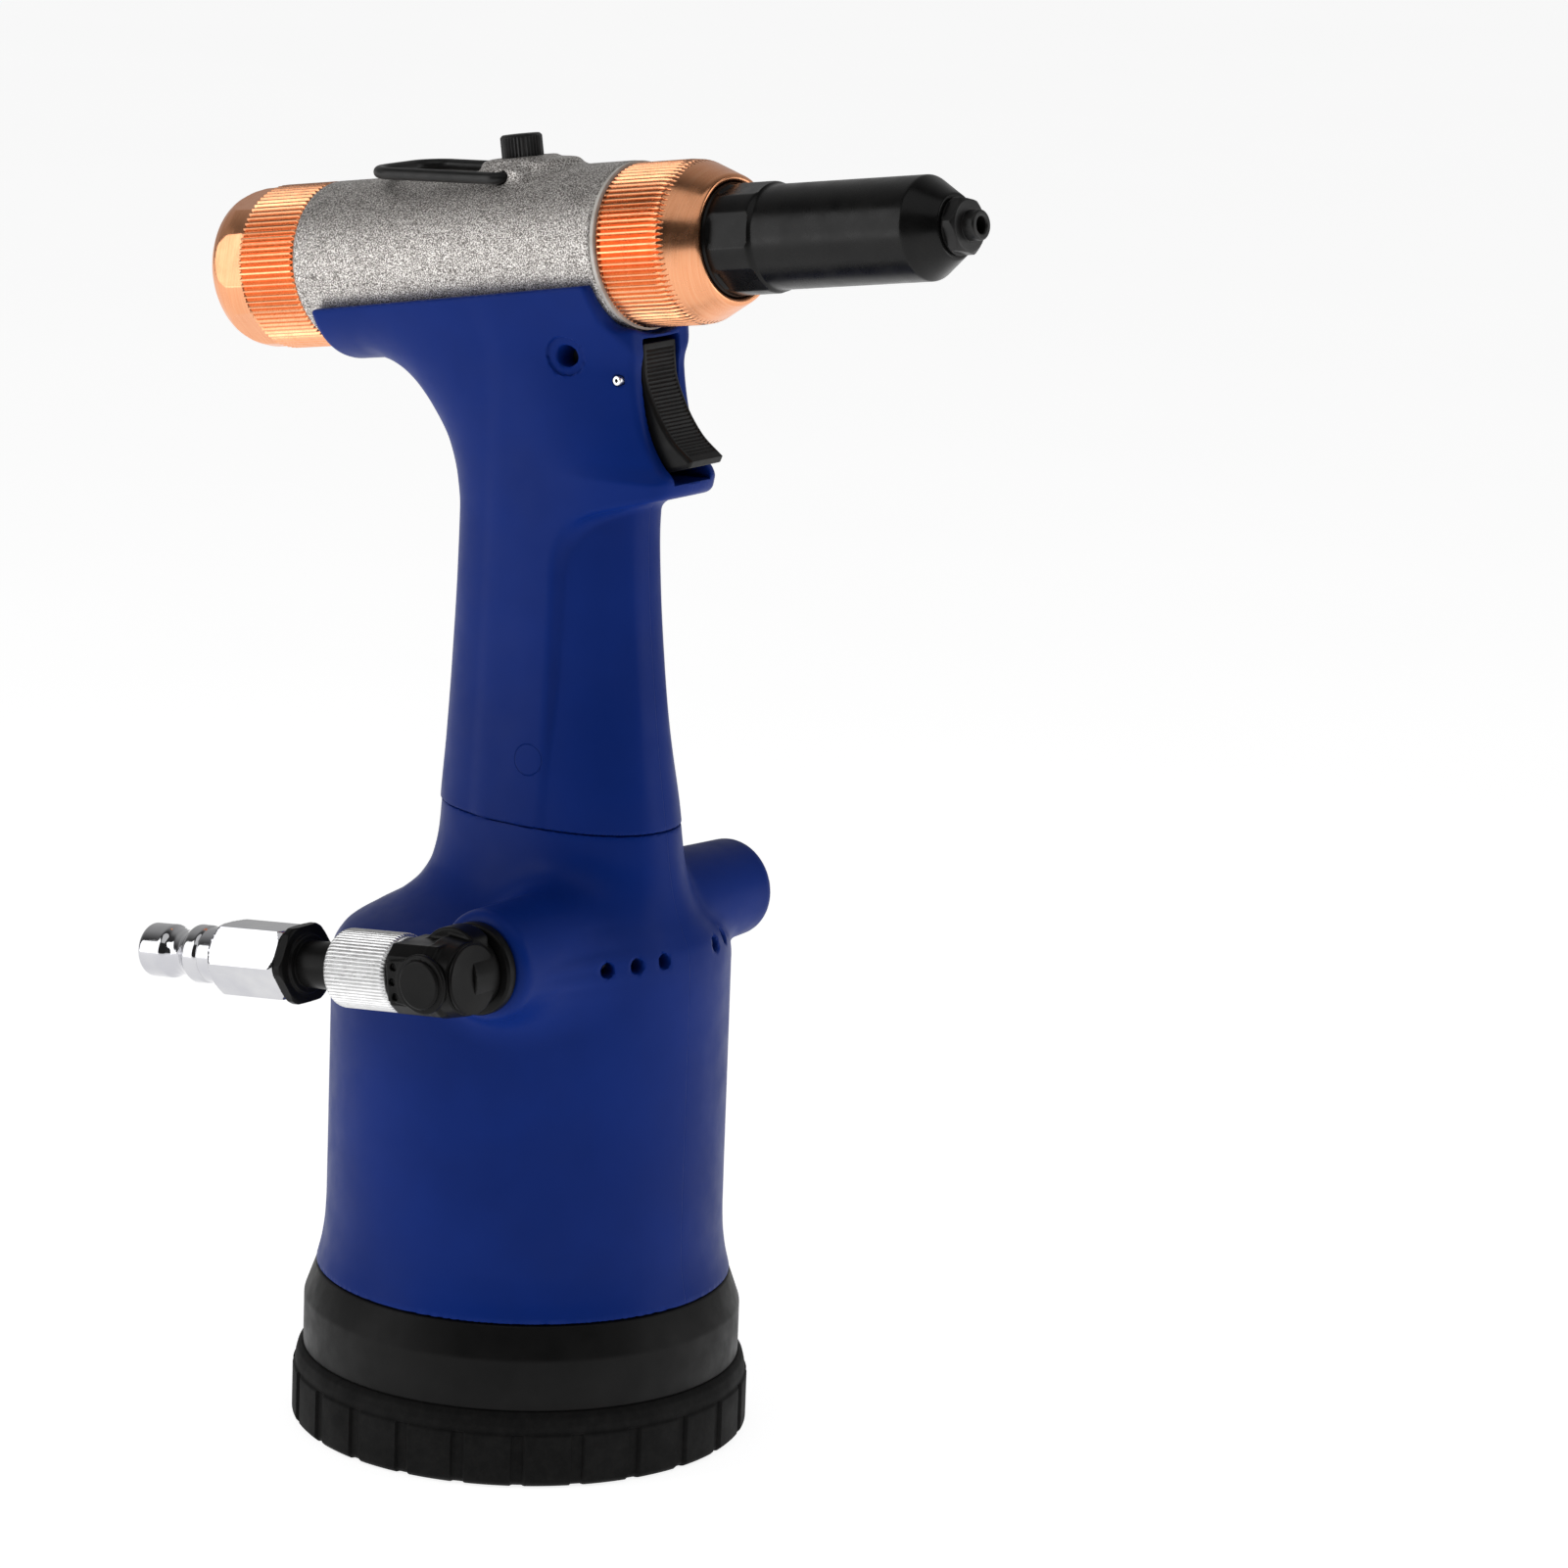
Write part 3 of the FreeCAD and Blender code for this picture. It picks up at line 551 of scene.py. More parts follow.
def both(a, b, blend):
    """Common part, its edges rounded over about blend."""
    return -join(-a, -b, blend)


def without(a, b, blend):
    """What is left of a when b is cut away, its edges rounded over about blend."""
    return both(a, -b, blend)


def smooth_curve(value, points):
    """Smooth curve through (value, height) points, with no overshoot."""
    xs = np.array([p[0] for p in points], float)
    ys = np.array([p[1] for p in points], float)
    steps = np.diff(xs)
    slopes = np.diff(ys) / steps
    tangents = np.zeros(len(xs))
    same = slopes[:-1] * slopes[1:] > 0
    harmonic = 2 * slopes[:-1] * slopes[1:] / np.where(same, slopes[:-1] + slopes[1:], 1)
    tangents[1:-1] = np.where(same, harmonic, 0)
    tangents[0], tangents[-1] = slopes[0], slopes[-1]
    v = np.clip(value, xs[0], xs[-1])
    n = np.clip(np.searchsorted(xs, v, side="right") - 1, 0, len(xs) - 2)
    t = (v - xs[n]) / steps[n]
    return ((2 * t ** 3 - 3 * t ** 2 + 1) * ys[n] + (t ** 3 - 2 * t ** 2 + t) * steps[n] * tangents[n]
            + (3 * t ** 2 - 2 * t ** 3) * ys[n + 1] + (t ** 3 - t ** 2) * steps[n] * tangents[n + 1])


def oval(x, y, z, rows, power):
    """Loft of oval sections. rows are (height, rear, front, half width)."""
    rear, front, half = (smooth_curve(z, [(r[0], r[k]) for r in rows]) for k in (1, 2, 3))
    mid, reach = (rear + front) / 2, (front - rear) / 2
    dx, dy = x - mid, y
    q = (np.abs(dx / reach) ** power + np.abs(dy / half) ** power) ** (1 / power)
    q = np.maximum(q, 1e-6)
    distance = (q - 1) * np.sqrt(dx * dx + dy * dy) / q
    step = 0.5
    wider = [smooth_curve(z + step, [(r[0], r[k]) for r in rows]) for k in (1, 2, 3)]
    lean = (np.abs(wider[1] - front) + np.abs(wider[0] - rear) + 2 * np.abs(wider[2] - half)) / 4 / step
    return distance / np.sqrt(1 + lean ** 2)


def ramped(value, low, high):
    """Smooth step from 0 at low to 1 at high."""
    t = np.clip((value - low) / (high - low), 0, 1)
    return t * t * (3 - 2 * t)


def rod(u, v, radius):
    """Distance to an endless round bar across u and v."""
    return np.sqrt(u * u + v * v) - radius


def slab(value, low, high):
    """Distance to the layer between low and high."""
    return np.maximum(low - value, value - high)


# ---------------------------------------------------------------- base
BASE = (np.zeros(3), np.array([0.0, 0, 1]), np.array([0.0, 1, 0]))
BOOT_R = 47.5
BOOT_BORE_R = 44.0
GROOVES = 24
GROOVE_FIRST = math.radians(8.5)
GROOVE_HALF, GROOVE_DEPTH, GROOVE_TOP = 1.45, 0.75, 11.2


def boot_form(s, r, a):
    """Vertical grooves round the skirt of the boot."""
    pitch = 2 * math.pi / GROOVES
    off = (a - GROOVE_FIRST + pitch / 2) % pitch - pitch / 2
    across = np.clip((GROOVE_HALF - np.abs(off) * BOOT_R) / 0.35, 0, 1)
    height = np.clip((GROOVE_TOP - s) / 0.3, 0, 1)
    return np.where(r > BOOT_BORE_R + 0.6, r - GROOVE_DEPTH * across * height, r)


turned("boot", [(0, 0), (0, 46.6), (0.9, BOOT_R), (10.8, BOOT_R), (11.3, 47.0), (12.6, 46.95), (14.4, 46.5),
                (15.5, 45.6), (15.6, BOOT_BORE_R), (3.0, BOOT_BORE_R), (3.0, 0)],
       BASE, "boot_rubber", "gun", ["base_boot"], boot_form, sides=GROOVES * 40, corner=0.35, longest=2.0)
turned("lower_cap", [(3.1, 0), (3.1, 43.8), (15.4, 43.9), (15.4, 45.4), (26.2, 45.4), (32.9, 43.0),
                     (32.9, 38.2), (14.0, 38.2), (14.0, 0)],
       BASE, "black_cap", "gun", ["bottom_cap"], sides=256, corner=0.5)


# ---------------------------------------------------------------- blue housing
HOUSING_ROWS = [
    (90, -41.15, 41.15, 41.15), (100, -41.0, 41.15, 41.05), (103.5, -39.2, 41.05, 39.5),
    (107, -34.2, 40.6, 34.5), (110.5, -28.6, 39.2, 27.6), (114.5, -24.6, 37.4, 22.2),
    (119, -22.4, 36.0, 19.3), (125, -21.3, 34.8, 17.9), (131.5, -20.9, 33.9, 17.3),
    (136, -20.6, 33.0, 17.0)]
FOOT_FLARE = [(33, 1.95), (38, 0.8), (43, 0.2), (48, 0.03), (60, 0.0)]
CHAMBER_R, CHAMBER_TOP = 37.6, 101.0
GUIDE_R = 13.0
NEAR_BOSS_R, NEAR_BOSS_END = 11.4, -43.4
FAR_BOSS = (SWIVEL[0] - 0.4, SWIVEL[2] + 1.5)
FAR_BOSS_R, FAR_BOSS_END, FAR_BOSS_TAPER = 10.2, 40.8, 0.047
VALVE_BORE_R, VALVE_BORE_END = 7.1, 37.5
EXHAUST_DEGREES = (-30, -20, -10, 16, 26)
EXHAUST_Z, EXHAUST_R = 106.5, 1.5


def housing_field(x, y, z):
    """Round cylinder that shoulders into an oval neck, with two cross bosses and exhaust holes."""
    power = 2.0 + 0.15 * np.clip((z - 100.0) / 14.0, 0, 1)
    body = oval(x, y, z, HOUSING_ROWS, power) - smooth_curve(z, FOOT_FLARE)
    near = both(rod(x - SWIVEL[0], z - SWIVEL[2], NEAR_BOSS_R), slab(y, NEAR_BOSS_END, -10.0), 3.0)
    far_r = FAR_BOSS_R + FAR_BOSS_TAPER * (FAR_BOSS_END - 2.0 - y)
    taper = rod(x - FAR_BOSS[0], z - FAR_BOSS[1], far_r)
    far = both(taper, slab(y, 10.0, FAR_BOSS_END), 2.6)
    body = join(body, near, 8.0)
    body = join(body, far, 2.2)
    body = both(body, slab(z, SEAM_Z + 0.15, NECK_Z - 0.06), 0.45)
    chamber = np.maximum(rod(x, y, CHAMBER_R), z - CHAMBER_TOP)
    body = np.maximum(body, -chamber)
    guide = np.maximum(rod(x, y, GUIDE_R), CHAMBER_TOP - 2.0 - z)
    body = np.maximum(body, -guide)
    bore = np.maximum(rod(x - SWIVEL[0], z - SWIVEL[2], VALVE_BORE_R), slab(y, -45.0, VALVE_BORE_END))
    body = without(body, bore, 0.8)
    for degrees in EXHAUST_DEGREES:
        c, s = math.cos(math.radians(degrees)), math.sin(math.radians(degrees))
        hole = np.maximum(rod(y * c - x * s, z - EXHAUST_Z, EXHAUST_R), 30.0 - (x * c + y * s))
        body = without(body, hole, 0.45)
    return body


sculpt("housing", housing_field, (-48, -48, 31), (48, 49, 133), 0.62, "blue_shell", "gun",
       ["cylinder_housing"])


# ---------------------------------------------------------------- blue grip
HANDLE_ROWS = [
    (128, -21.1, 34.2, 17.5), (131.2, -21.0, 33.8, 17.3), (145, -20.0, 31.6, 16.4), (162, -19.2, 29.4, 15.4),
    (180, -18.6, 27.6, 14.7), (192, -18.5, 27.0, 14.4), (198, -19.3, 27.3, 14.4), (205, -21.8, 28.6, 14.4),
    (212, -27.0, 29.4, 14.6), (218, -33.5, 29.0, 15.0), (223, -40.0, 28.6, 15.4), (228, -45.0, 28.2, 15.7),
    (240, -50.0, 28.0, 16.0)]
FRONT_FACE = [
    (130, 36.0), (180, 38.0), (199, 39.4), (203.4, 39.4), (205, 37.4), (207, 34.9), (212.5, 31.3),
    (218, 29.5), (224, 28.4), (231, 27.7), (240, 27.3)]
FACE_HALF = [(130, 8.4), (198, 8.4), (205, 8.8), (215, 9.2), (232, 9.4), (240, 9.4)]
CHEEK_SLANT = 0.46
LEDGE_X, LEDGE_Z, LEDGE_RISE = 24.5, 197.0, 0.3      # underside of the trigger guard
CREASE_X = 14.1                                      # rear edge of the recess below it
RECESS_DEPTH = 1.1
SADDLE_END = -52.5
COLLAR_ROOM_R = 17.5
COLUMN_ROOM_R = 12.6
POCKET_HALF, POCKET_FLOOR, POCKET_TOP = 5.85, 203.6, 231.8
SCREW_HOLE = (15.2, 227.6)
SCREW_HOLE_R, SCREW_SEAT_R, SCREW_SEAT_DEPTH = 2.2, 3.95, 0.55
PIN_HOLE_R = 1.12


def handle_field(x, y, z):
    """Handle: an oval lower part, and a squarer upper part that stands proud of it round the trigger."""
    ledge = LEDGE_Z + LEDGE_RISE * (x - LEDGE_X)
    crease = join(x - CREASE_X, ledge - z, 10.5)
    low = oval(x, y, z, HANDLE_ROWS, 2.25)
    recess = ramped(crease, -0.2, 1.6) * ramped(z, 134.0, 164.0) * ramped(np.abs(y), 4.0, 9.0)
    low = low + RECESS_DEPTH * recess
    face_x = smooth_curve(z, FRONT_FACE)
    face_half = smooth_curve(z, FACE_HALF)
    half = smooth_curve(z, [(r[0], r[3]) for r in HANDLE_ROWS])
    cheek = (x - face_x + 1.6) * CHEEK_SLANT + np.abs(y) - face_half
    cheek = cheek / math.sqrt(1 + CHEEK_SLANT ** 2)
    square = both(x - face_x, cheek, 1.3)
    square = both(square, np.abs(y) - half, 5.0)
    square = both(square, oval(x, y, z, HANDLE_ROWS, 2.9) - 9.5, 2.0)
    square = both(square, -4.0 - x, 6.0)
    square = both(square, crease, 1.5)
    return join(low, square, 1.8)


def grip_outside(x, y, z):
    """Handle and saddle, cut to the barrel, the collar and the joint with the housing."""
    s, w = along_barrel(x, z)
    saddle = both(rod(y, w, SADDLE_R), slab(s, SADDLE_END, BARREL_FRONT - 0.7), 1.2)
    saddle = both(saddle, w + 2.0, 1.0)
    body = join(handle_field(x, y, z), saddle, 7.0)
    rear_cut = SADDLE_END - 0.3 + 0.2 * (w + 19)
    body = both(body, rear_cut - s, 1.6)
    upper_edge = -8.0 + 0.025 * (s + 51)
    body = both(body, w - upper_edge, 0.9)
    ahead = join(s - BARREL_FRONT + 0.6, w + 15.5, 3.0)
    body = both(body, ahead, 1.4)
    collar_room = np.maximum(rod(y, w, COLLAR_ROOM_R), BARREL_FRONT - 0.8 - s)
    body = without(body, collar_room, 0.8)
    body = without(body, rod(y, w, BARREL_R + 0.06), 0.5)
    return both(body, NECK_Z + 0.08 - z, 0.45)


def grip_field(x, y, z):
    """Grip moulding with its column bore, trigger pocket, screw hole and pin hole."""
    body = grip_outside(x, y, z)
    column = np.maximum(rod(x, y, COLUMN_ROOM_R), z - 228.0)
    body = np.maximum(body, -column)
    pocket = np.maximum(np.abs(y) - POCKET_HALF, np.maximum(slab(z, POCKET_FLOOR, POCKET_TOP), 15.0 - x))
    body = without(body, pocket, 0.35)
    from_screw = rod(x - SCREW_HOLE[0], z - SCREW_HOLE[1], 0)
    seat = np.maximum(np.maximum(from_screw - SCREW_SEAT_R, -SCREW_SEAT_DEPTH - body), y)
    body = without(body, seat, 0.12)
    body = without(body, np.maximum(from_screw - SCREW_HOLE_R, y + 4.0), 0.4)
    return without(body, rod(x - PIVOT[0], z - PIVOT[2], PIN_HOLE_R), 0.2)


sculpt("grip_moulding", grip_field, (-58, -22, 129), (41, 22, 243), 0.45, "blue_shell", "gun", ["grip"])


# ---------------------------------------------------------------- head casting
HANGER_PLACE = row(joints["hanger_swing"]["pos_m"]) / MM
HANGER_S, HANGER_W = along_barrel(HANGER_PLACE[0], HANGER_PLACE[2])
SCREW_S = HANGER_S - 1.0
SEAT_W = 18.9                                # height of the screw's seat over the barrel axis
SEAT_R = 6.9
EAR_HALF = 8.35
WIRE_HOLE_R = 1.32


def casting_field(x, y, z):
    """Barrel, the long pad under the screw, and the ears that hold the wire loop."""
    s, w = along_barrel(x, z)
    barrel = both(rod(y, w, BARREL_R), slab(s, BARREL_REAR, BARREL_FRONT), 0.7)
    ahead = s - SCREW_S
    pad_r = 6.6 - 0.16 * np.clip(ahead, 0, 10)
    pad_w = SEAT_W - 0.05 - 0.09 * np.clip(ahead - 4, 0, 20)
    pad = both(rod(ahead - np.clip(ahead, -2.0, 8.0), y, pad_r), slab(w, 8.0, pad_w), 1.3)
    seat = both(rod(ahead, y, SEAT_R), slab(w, 8.0, SEAT_W), 0.8)
    ear_w = HANGER_W + 2.8 - 0.22 * np.clip(np.abs(y) - 4.0, 0, 9)
    flank = HANGER_S + 3.4 + 0.8 * np.clip(ear_w - w, 0, 4)
    ear = both(slab(s, HANGER_S - 3.1, flank), np.abs(y) - EAR_HALF, 1.2)
    ear = both(ear, slab(w, 6.0, ear_w), 1.4)
    body = join(barrel, pad, 3.4)
    body = join(body, ear, 2.0)
    body = join(body, seat, 0.9)
    body = without(body, np.maximum(rod(ahead, y, 4.5), 18.0 - w), 0.4)
    wire_hole = np.maximum(rod(s - HANGER_S, w - HANGER_W, WIRE_HOLE_R), 4.4 - np.abs(y))
    body = without(body, wire_hole, 0.4)
    return np.maximum(body, -rod(y, w, BARREL_BORE_R))


sculpt("casting", casting_field, (-64, -18.5, 216), (29, 18.5, 271), 0.5, "cast_aluminium", "gun",
       ["head_casting"])
turned("casting_column", [(97.1, 6.6), (97.1, 12.5), (103, 12.5), (103, 10.0), (229, 10.0), (229, 6.6),
                          (97.1, 6.6)], BASE, "cast_aluminium", "gun", sides=64)


# ---------------------------------------------------------------- barrel ends and nose
BARREL = (BARREL_ZERO, BARREL_AXIS, BARREL_UP)


def teeth(angle, count):
    """Triangle wave, 0 at a crest and 1 at a root."""
    phase = (angle * count / (2 * math.pi)) % 1
    return 1 - np.abs(2 * phase - 1)


def flat_radius(angle, half, first, count=6):
    """Radius of a regular bar with flats at that half width, one of them facing the first angle."""
    pitch = 2 * math.pi / count
    return half / np.cos((angle - first + pitch / 2) % pitch - pitch / 2)


def knurled(angle, radius, depth, count):
    """Radius of flat-topped teeth cut to a depth."""
    return radius - depth * np.clip(1.4 * teeth(angle, count) - 0.4, 0, 1)


CAP_TEETH, CAP_SHOULDER = 86, -69.4
CAP_FLAT_HALF, CAP_FLAT_FIRST = 15.55, math.radians(169.5)
COLLAR_R, COLLAR_TEETH = 16.4, 84


def rear_cap_form(s, r, a):
    """Teeth up to the shoulder and six flats behind it."""
    toothed = (s > CAP_SHOULDER - 0.05) & (s < -55.0)
    r = np.where(toothed, np.minimum(r, knurled(a, BARREL_R, 0.65, CAP_TEETH)), r)
    flats = flat_radius(a, CAP_FLAT_HALF, CAP_FLAT_FIRST)
    return np.where(s <= CAP_SHOULDER, np.minimum(r, flats), r)


def collar_form(s, r, a):
    toothed = (s > 24.6) & (r > 15.0)
    return np.where(toothed, np.minimum(r, knurled(a, COLLAR_R, 0.75, COLLAR_TEETH)), r)


turned("rear_end_cap", [(-54.9, BARREL_BORE_R), (-54.9, 16.5), (-55.4, 16.95), (CAP_SHOULDER, 16.95),
                        (CAP_SHOULDER, 16.5), (-74.2, 16.45), (-76.4, 16.0), (-78.1, 15.2), (-79.5, 13.8),
                        (-80.4, 11.6), (-80.6, 0)],
       BARREL, "copper_anodised", "gun", ["rear_cap"], rear_cap_form, sides=CAP_TEETH * 8, corner=0.4,
       longest=0.5, sharp=30)
turned("nose_collar", [(24.1, 14.2), (24.1, 16.0), (24.6, COLLAR_R), (37.2, COLLAR_R), (39.5, 16.2),
                       (46.8, 13.0), (47.2, 12.5), (47.2, 11.9), (46.6, 11.45), (24.1, 11.45), (24.1, 14.2)],
       BARREL, "copper_anodised", "gun", ["front_collar"], collar_form,
       sides=COLLAR_TEETH * 8, corner=0.35, longest=0.5, sharp=30)


def nose_form(s, r, a):
    """Six flats between the collar and the sleeve."""
    flats = flat_radius(a, 10.45, math.radians(166))
    return np.where((s > 47.6) & (s < 57.3), np.minimum(r, flats), r)


turned("nose_sleeve", [(28, 8.9), (28, 11.35), (46.9, 11.35), (47.3, 11.0), (57.2, 11.0), (58.0, 10.35),
                       (94.2, 10.3), (100.2, 6.4), (100.2, 4.1), (93.0, 4.1),
                       (90.0, 8.9), (28, 8.9)], BARREL, "black_nose", "gun", ["nose_housing"], nose_form,
       sides=240, corner=0.35, longest=0.6, sharp=25)


def nosepiece_form(s, r, a):
    """Spanner flats on the nosepiece's flange."""
    flats = flat_radius(a, 5.2, math.radians(136))
    return np.where((s > 100.85) & (s < 103.3) & (r > 3.3), np.minimum(r, flats), r)


turned("nosepiece_screw", [(88.5, 1.65), (88.5, 2.6), (90.5, 4.0), (100.3, 4.0), (100.3, 5.6), (100.9, 5.7),
                           (101.0, 5.9), (102.6, 5.9), (103.3, 5.0), (103.4, 3.3), (103.4, 3.0), (105.8, 3.0),
                           (106.1, 2.7), (106.1, 1.9), (105.8, 1.65), (88.5, 1.65)], BARREL, "black_steel",
       "gun", ["nosepiece"], nosepiece_form, sides=240, corner=0.15, longest=0.4, sharp=28)

SCREW = (BARREL_ZERO + SCREW_S * BARREL_AXIS, BARREL_UP, BARREL_AXIS)


def screw_form(s, r, a):
    """Knurled head with a hexagon socket."""
    knurl = 4.25 - 0.2 * teeth(a, 36)
    socket = flat_radius(a, 2.0, 0.3)
    r = np.where((r > 3.9) & (s > 19.1) & (s < 23.3), np.minimum(r, knurl), r)
    return np.where((r < 2.4) & (s > 20), socket, r)


turned("filler_screw", [(13.3, 0), (13.3, 2.45), (18.8, 2.45), (18.8, 4.0), (19.1, 4.25), (23.3, 4.25),
                        (23.8, 3.75), (23.8, 2.35), (21.3, 2.35), (20.9, 0)], SCREW, "black_steel", "gun",
       ["oil_screw"], screw_form, sides=36 * 8, corner=0.2, longest=0.5, sharp=30)


# ---------------------------------------------------------------- trigger
TRIGGER_FRONT = [(28.3, 230.9), (28.9, 224.5), (31.7, 218.2), (35.9, 212.7), (41.3, 208.8)]
TRIGGER_BACK = [(40.6, 207.2), (31.2, 204.2), (28.5, 204.6), (25.0, 213.0), (16.8, 214.8), (16.8, 217.6),
                (22.9, 218.6), (22.9, 226.2), (24.5, 230.9)]
TRIGGER_HALF = 5.6
RIB_PITCH, RIB_DEPTH, RIB_HALF = 0.82, 0.26, 4.45
ARM_HALF, ARM_FRONT = 2.6, 22.9              # rear arm that lifts the rod


def front_line(count):
    """Points along the trigger's front, evenly spread in height, with their length along the curve."""
    heights = np.linspace(TRIGGER_FRONT[0][1], TRIGGER_FRONT[-1][1], count)
    depth = smooth_curve(heights, [(z, x) for x, z in reversed(TRIGGER_FRONT)])
    run = np.concatenate([[0], np.cumsum(np.hypot(np.diff(depth), np.diff(heights)))])
    return depth, heights, run


def outline_distance(x, z, points):
    """Signed distance to a closed outline, negative inside."""
    best = 1e9
    inside = False
    for (x0, z0), (x1, z1) in zip(points, points[1:] + points[:1]):
        dx, dz = x1 - x0, z1 - z0
        t = np.clip(((x - x0) * dx + (z - z0) * dz) / (dx * dx + dz * dz), 0, 1)
        best = np.minimum(best, np.hypot(x - x0 - t * dx, z - z0 - t * dz))
        crosses = (z0 > z) != (z1 > z)
        inside = inside ^ (crosses & (x < x0 + (z - z0) * dx / (dz if dz else 1e-9)))
    return np.where(inside, -best, best)


front_x, front_z, front_run = front_line(36)
TRIGGER_OUTLINE = list(zip(front_x.tolist(), front_z.tolist())) + TRIGGER_BACK


def along_front(x, z):
    """Distance to the trigger's front curve, and how far along the curve its nearest point is."""
    near = np.full(np.broadcast(x, z).shape, 1e9)
    run = np.zeros_like(near)
    for n in range(len(front_x) - 1):
        dx, dz = front_x[n + 1] - front_x[n], front_z[n + 1] - front_z[n]
        t = np.clip(((x - front_x[n]) * dx + (z - front_z[n]) * dz) / (dx * dx + dz * dz), 0, 1)
        d = np.hypot(x - front_x[n] - t * dx, z - front_z[n] - t * dz)
        run = np.where(d < near, front_run[n] + t * math.hypot(dx, dz), run)
        near = np.minimum(near, d)
    return near, run


def trigger_field(x, y, z):
    """Curved lever with fine cross ribs on its front, narrow arm at its back."""
    side = outline_distance(x, z, TRIGGER_OUTLINE)
    body = both(side + 0.25, np.abs(y) - TRIGGER_HALF + 0.05, 1.0)
    near, run = along_front(x, z)
    panel = np.clip((RIB_HALF - np.abs(y)) / 0.2, 0, 1) * np.clip((run - 1.3) / 0.2, 0, 1)
    panel = panel * np.clip((front_run[-1] - 1.6 - run) / 0.2, 0, 1) * np.clip((1.2 - near) / 0.3, 0, 1)
    ribs = RIB_DEPTH * (0.5 + 0.5 * np.cos(2 * math.pi * run / RIB_PITCH))
    body = body + ribs * panel
    beside_arm = np.maximum(x - ARM_FRONT, ARM_HALF - np.abs(y))
    body = np.maximum(body, -beside_arm)
    return np.maximum(body, -rod(x - PIVOT[0], z - PIVOT[2], 1.05))


sculpt("trigger_lever_piece", trigger_field, (15.5, -6.3, 203), (42.5, 6.3, 232), 0.17, "black_plastic",
       "trigger_lever", ["trigger"])


def cross_axis(place):
    """Place of a turned piece whose axis runs along Y."""
    return np.array([place[0], 0, place[2]]), SIDE, np.array([0.0, 0, 1])


PIN_R, PIN_BORE_R = 0.99, 0.4
depths = np.linspace(6.0, 18.0, 241)
skin_depth = depths[grip_field(PIVOT[0] - 1.9, -depths, PIVOT[2]) < 0].max()
PIN_END = skin_depth - 0.25                  # just inside the grip's skin beside the pin hole
turned("trigger_pivot_pin", [(-PIN_END, PIN_BORE_R), (-PIN_END, PIN_R), (PIN_END, PIN_R),
                             (PIN_END, PIN_BORE_R), (-PIN_END, PIN_BORE_R)],
       cross_axis(PIVOT), "machined_aluminium", "gun", ["trigger_pin"], sides=48, corner=0.2)


# ---------------------------------------------------------------- air line
ARM = (SWIVEL, ARM_AXIS, ARM_UP)
ELBOW_HALF = 7.1                             # half width of the square block
CAP_FACE, CAP_BACK = -8.2, -7.12             # retaining plate, measured along Y from the air line
DOT_HEIGHTS = (-3.0, 0, 3.0)

turned("inlet_bush", [(-34.2, 4.0), (-34.2, 7.0), (-43.5, 7.0), (-43.5, 8.9), (-43.9, 9.4), (-45.7, 9.4),
                      (-46.1, 9.0), (-46.2, 7.6), (-46.2, 4.0), (-34.2, 4.0)], cross_axis(SWIVEL),
       "black_anodised", "gun", ["inlet_bushing"], sides=128, corner=0.25)


def elbow_field(x, y, z):
    """Block along the air line, round end for the plug, and a cheek, neck and stem towards the bush."""
    s, t = along_arm(x, z)
    y = y - SWIVEL[1]
    square = np.maximum(np.abs(y), np.abs(t)) - ELBOW_HALF
    chamfers = (np.abs(y) + np.abs(t)) / math.sqrt(2) - 8.5
    block = both(np.maximum(square, chamfers), slab(s, -2.6, 9.4), 0.7)
    nose = both(rod(y, t, 7.3 + 0.16 * (s + 6)), slab(s, -6.05, 0), 0.5)
    cheek = both(both(rod(s, t - 1.4, 8.3), slab(y, 1.7, 6.6), 0.5), -5.7 - s, 0.3)
    neck = both(rod(s, t, 7.6), slab(y, 0.0, 7.5), 0.3)
    stem = both(rod(s, t, 3.95), slab(y, 0.0, 19.0), 0.3)
    body = join(block, nose, 0.6)
    body = join(body, cheek, 0.6)
    return np.minimum(np.minimum(body, neck), stem)


sculpt("swivel_elbow", elbow_field, (11, -62.5, 98), (32.5, -34, 120), 0.25, "black_anodised", "air_line",
       ["elbow_body"])
turned("elbow_end_disc", [(-6.0, 0), (-6.0, 7.05), (-6.9, 7.05), (-6.9, 0)],
       ARM, "black_anodised", "air_line", ["elbow_end_plug"], sides=96, corner=0.35)


def side_cap_field(x, y, z):
    """Retaining plate with a raised disc, and a tongue with three dots."""
    s, t = along_arm(x, z)
    y = y - SWIVEL[1]
    thickness = slab(y, CAP_FACE, CAP_BACK)
    plate = both(rod(s, t, 6.0), thickness, 0.4)
    tongue = both(np.maximum(slab(s, 0, 8.7), np.abs(t) - 4.6 + 0.12 * (s - 4)), thickness, 0.4)
    disc = both(rod(s, t, 4.95), slab(y, CAP_FACE - 0.8, CAP_BACK), 0.5)
    body = join(plate, tongue, 0.4)
    body = join(body, disc, 0.2)
    for height in DOT_HEIGHTS:
        body = without(body, np.maximum(rod(s - 7.3 + 0.06 * height ** 2, t - height, 0.78), y + 7.5), 0.25)
    return body


sculpt("elbow_side_disc", side_cap_field, (12, -63.6, 101), (29, -60.8, 117), 0.2, "black_anodised",
       "air_line", ["elbow_side_cap"])


def sleeve_form(s, r, a):
    """Fine lengthwise ribs."""
    ribs = 8.0 - 0.45 * teeth(a, 60) ** 2
    return np.where(r > 6.5, np.minimum(r, ribs), r)


turned("shutoff_grip", [(9.7, 4.86), (9.7, 7.3), (10.5, 8.0), (25.2, 8.0), (26.2, 7.0), (26.2, 4.86),
                        (9.7, 4.86)], ARM, "bright_aluminium", "shutoff", ["shutoff_sleeve"], sleeve_form,
       sides=60 * 8, corner=0.5, longest=1.0, sharp=40)


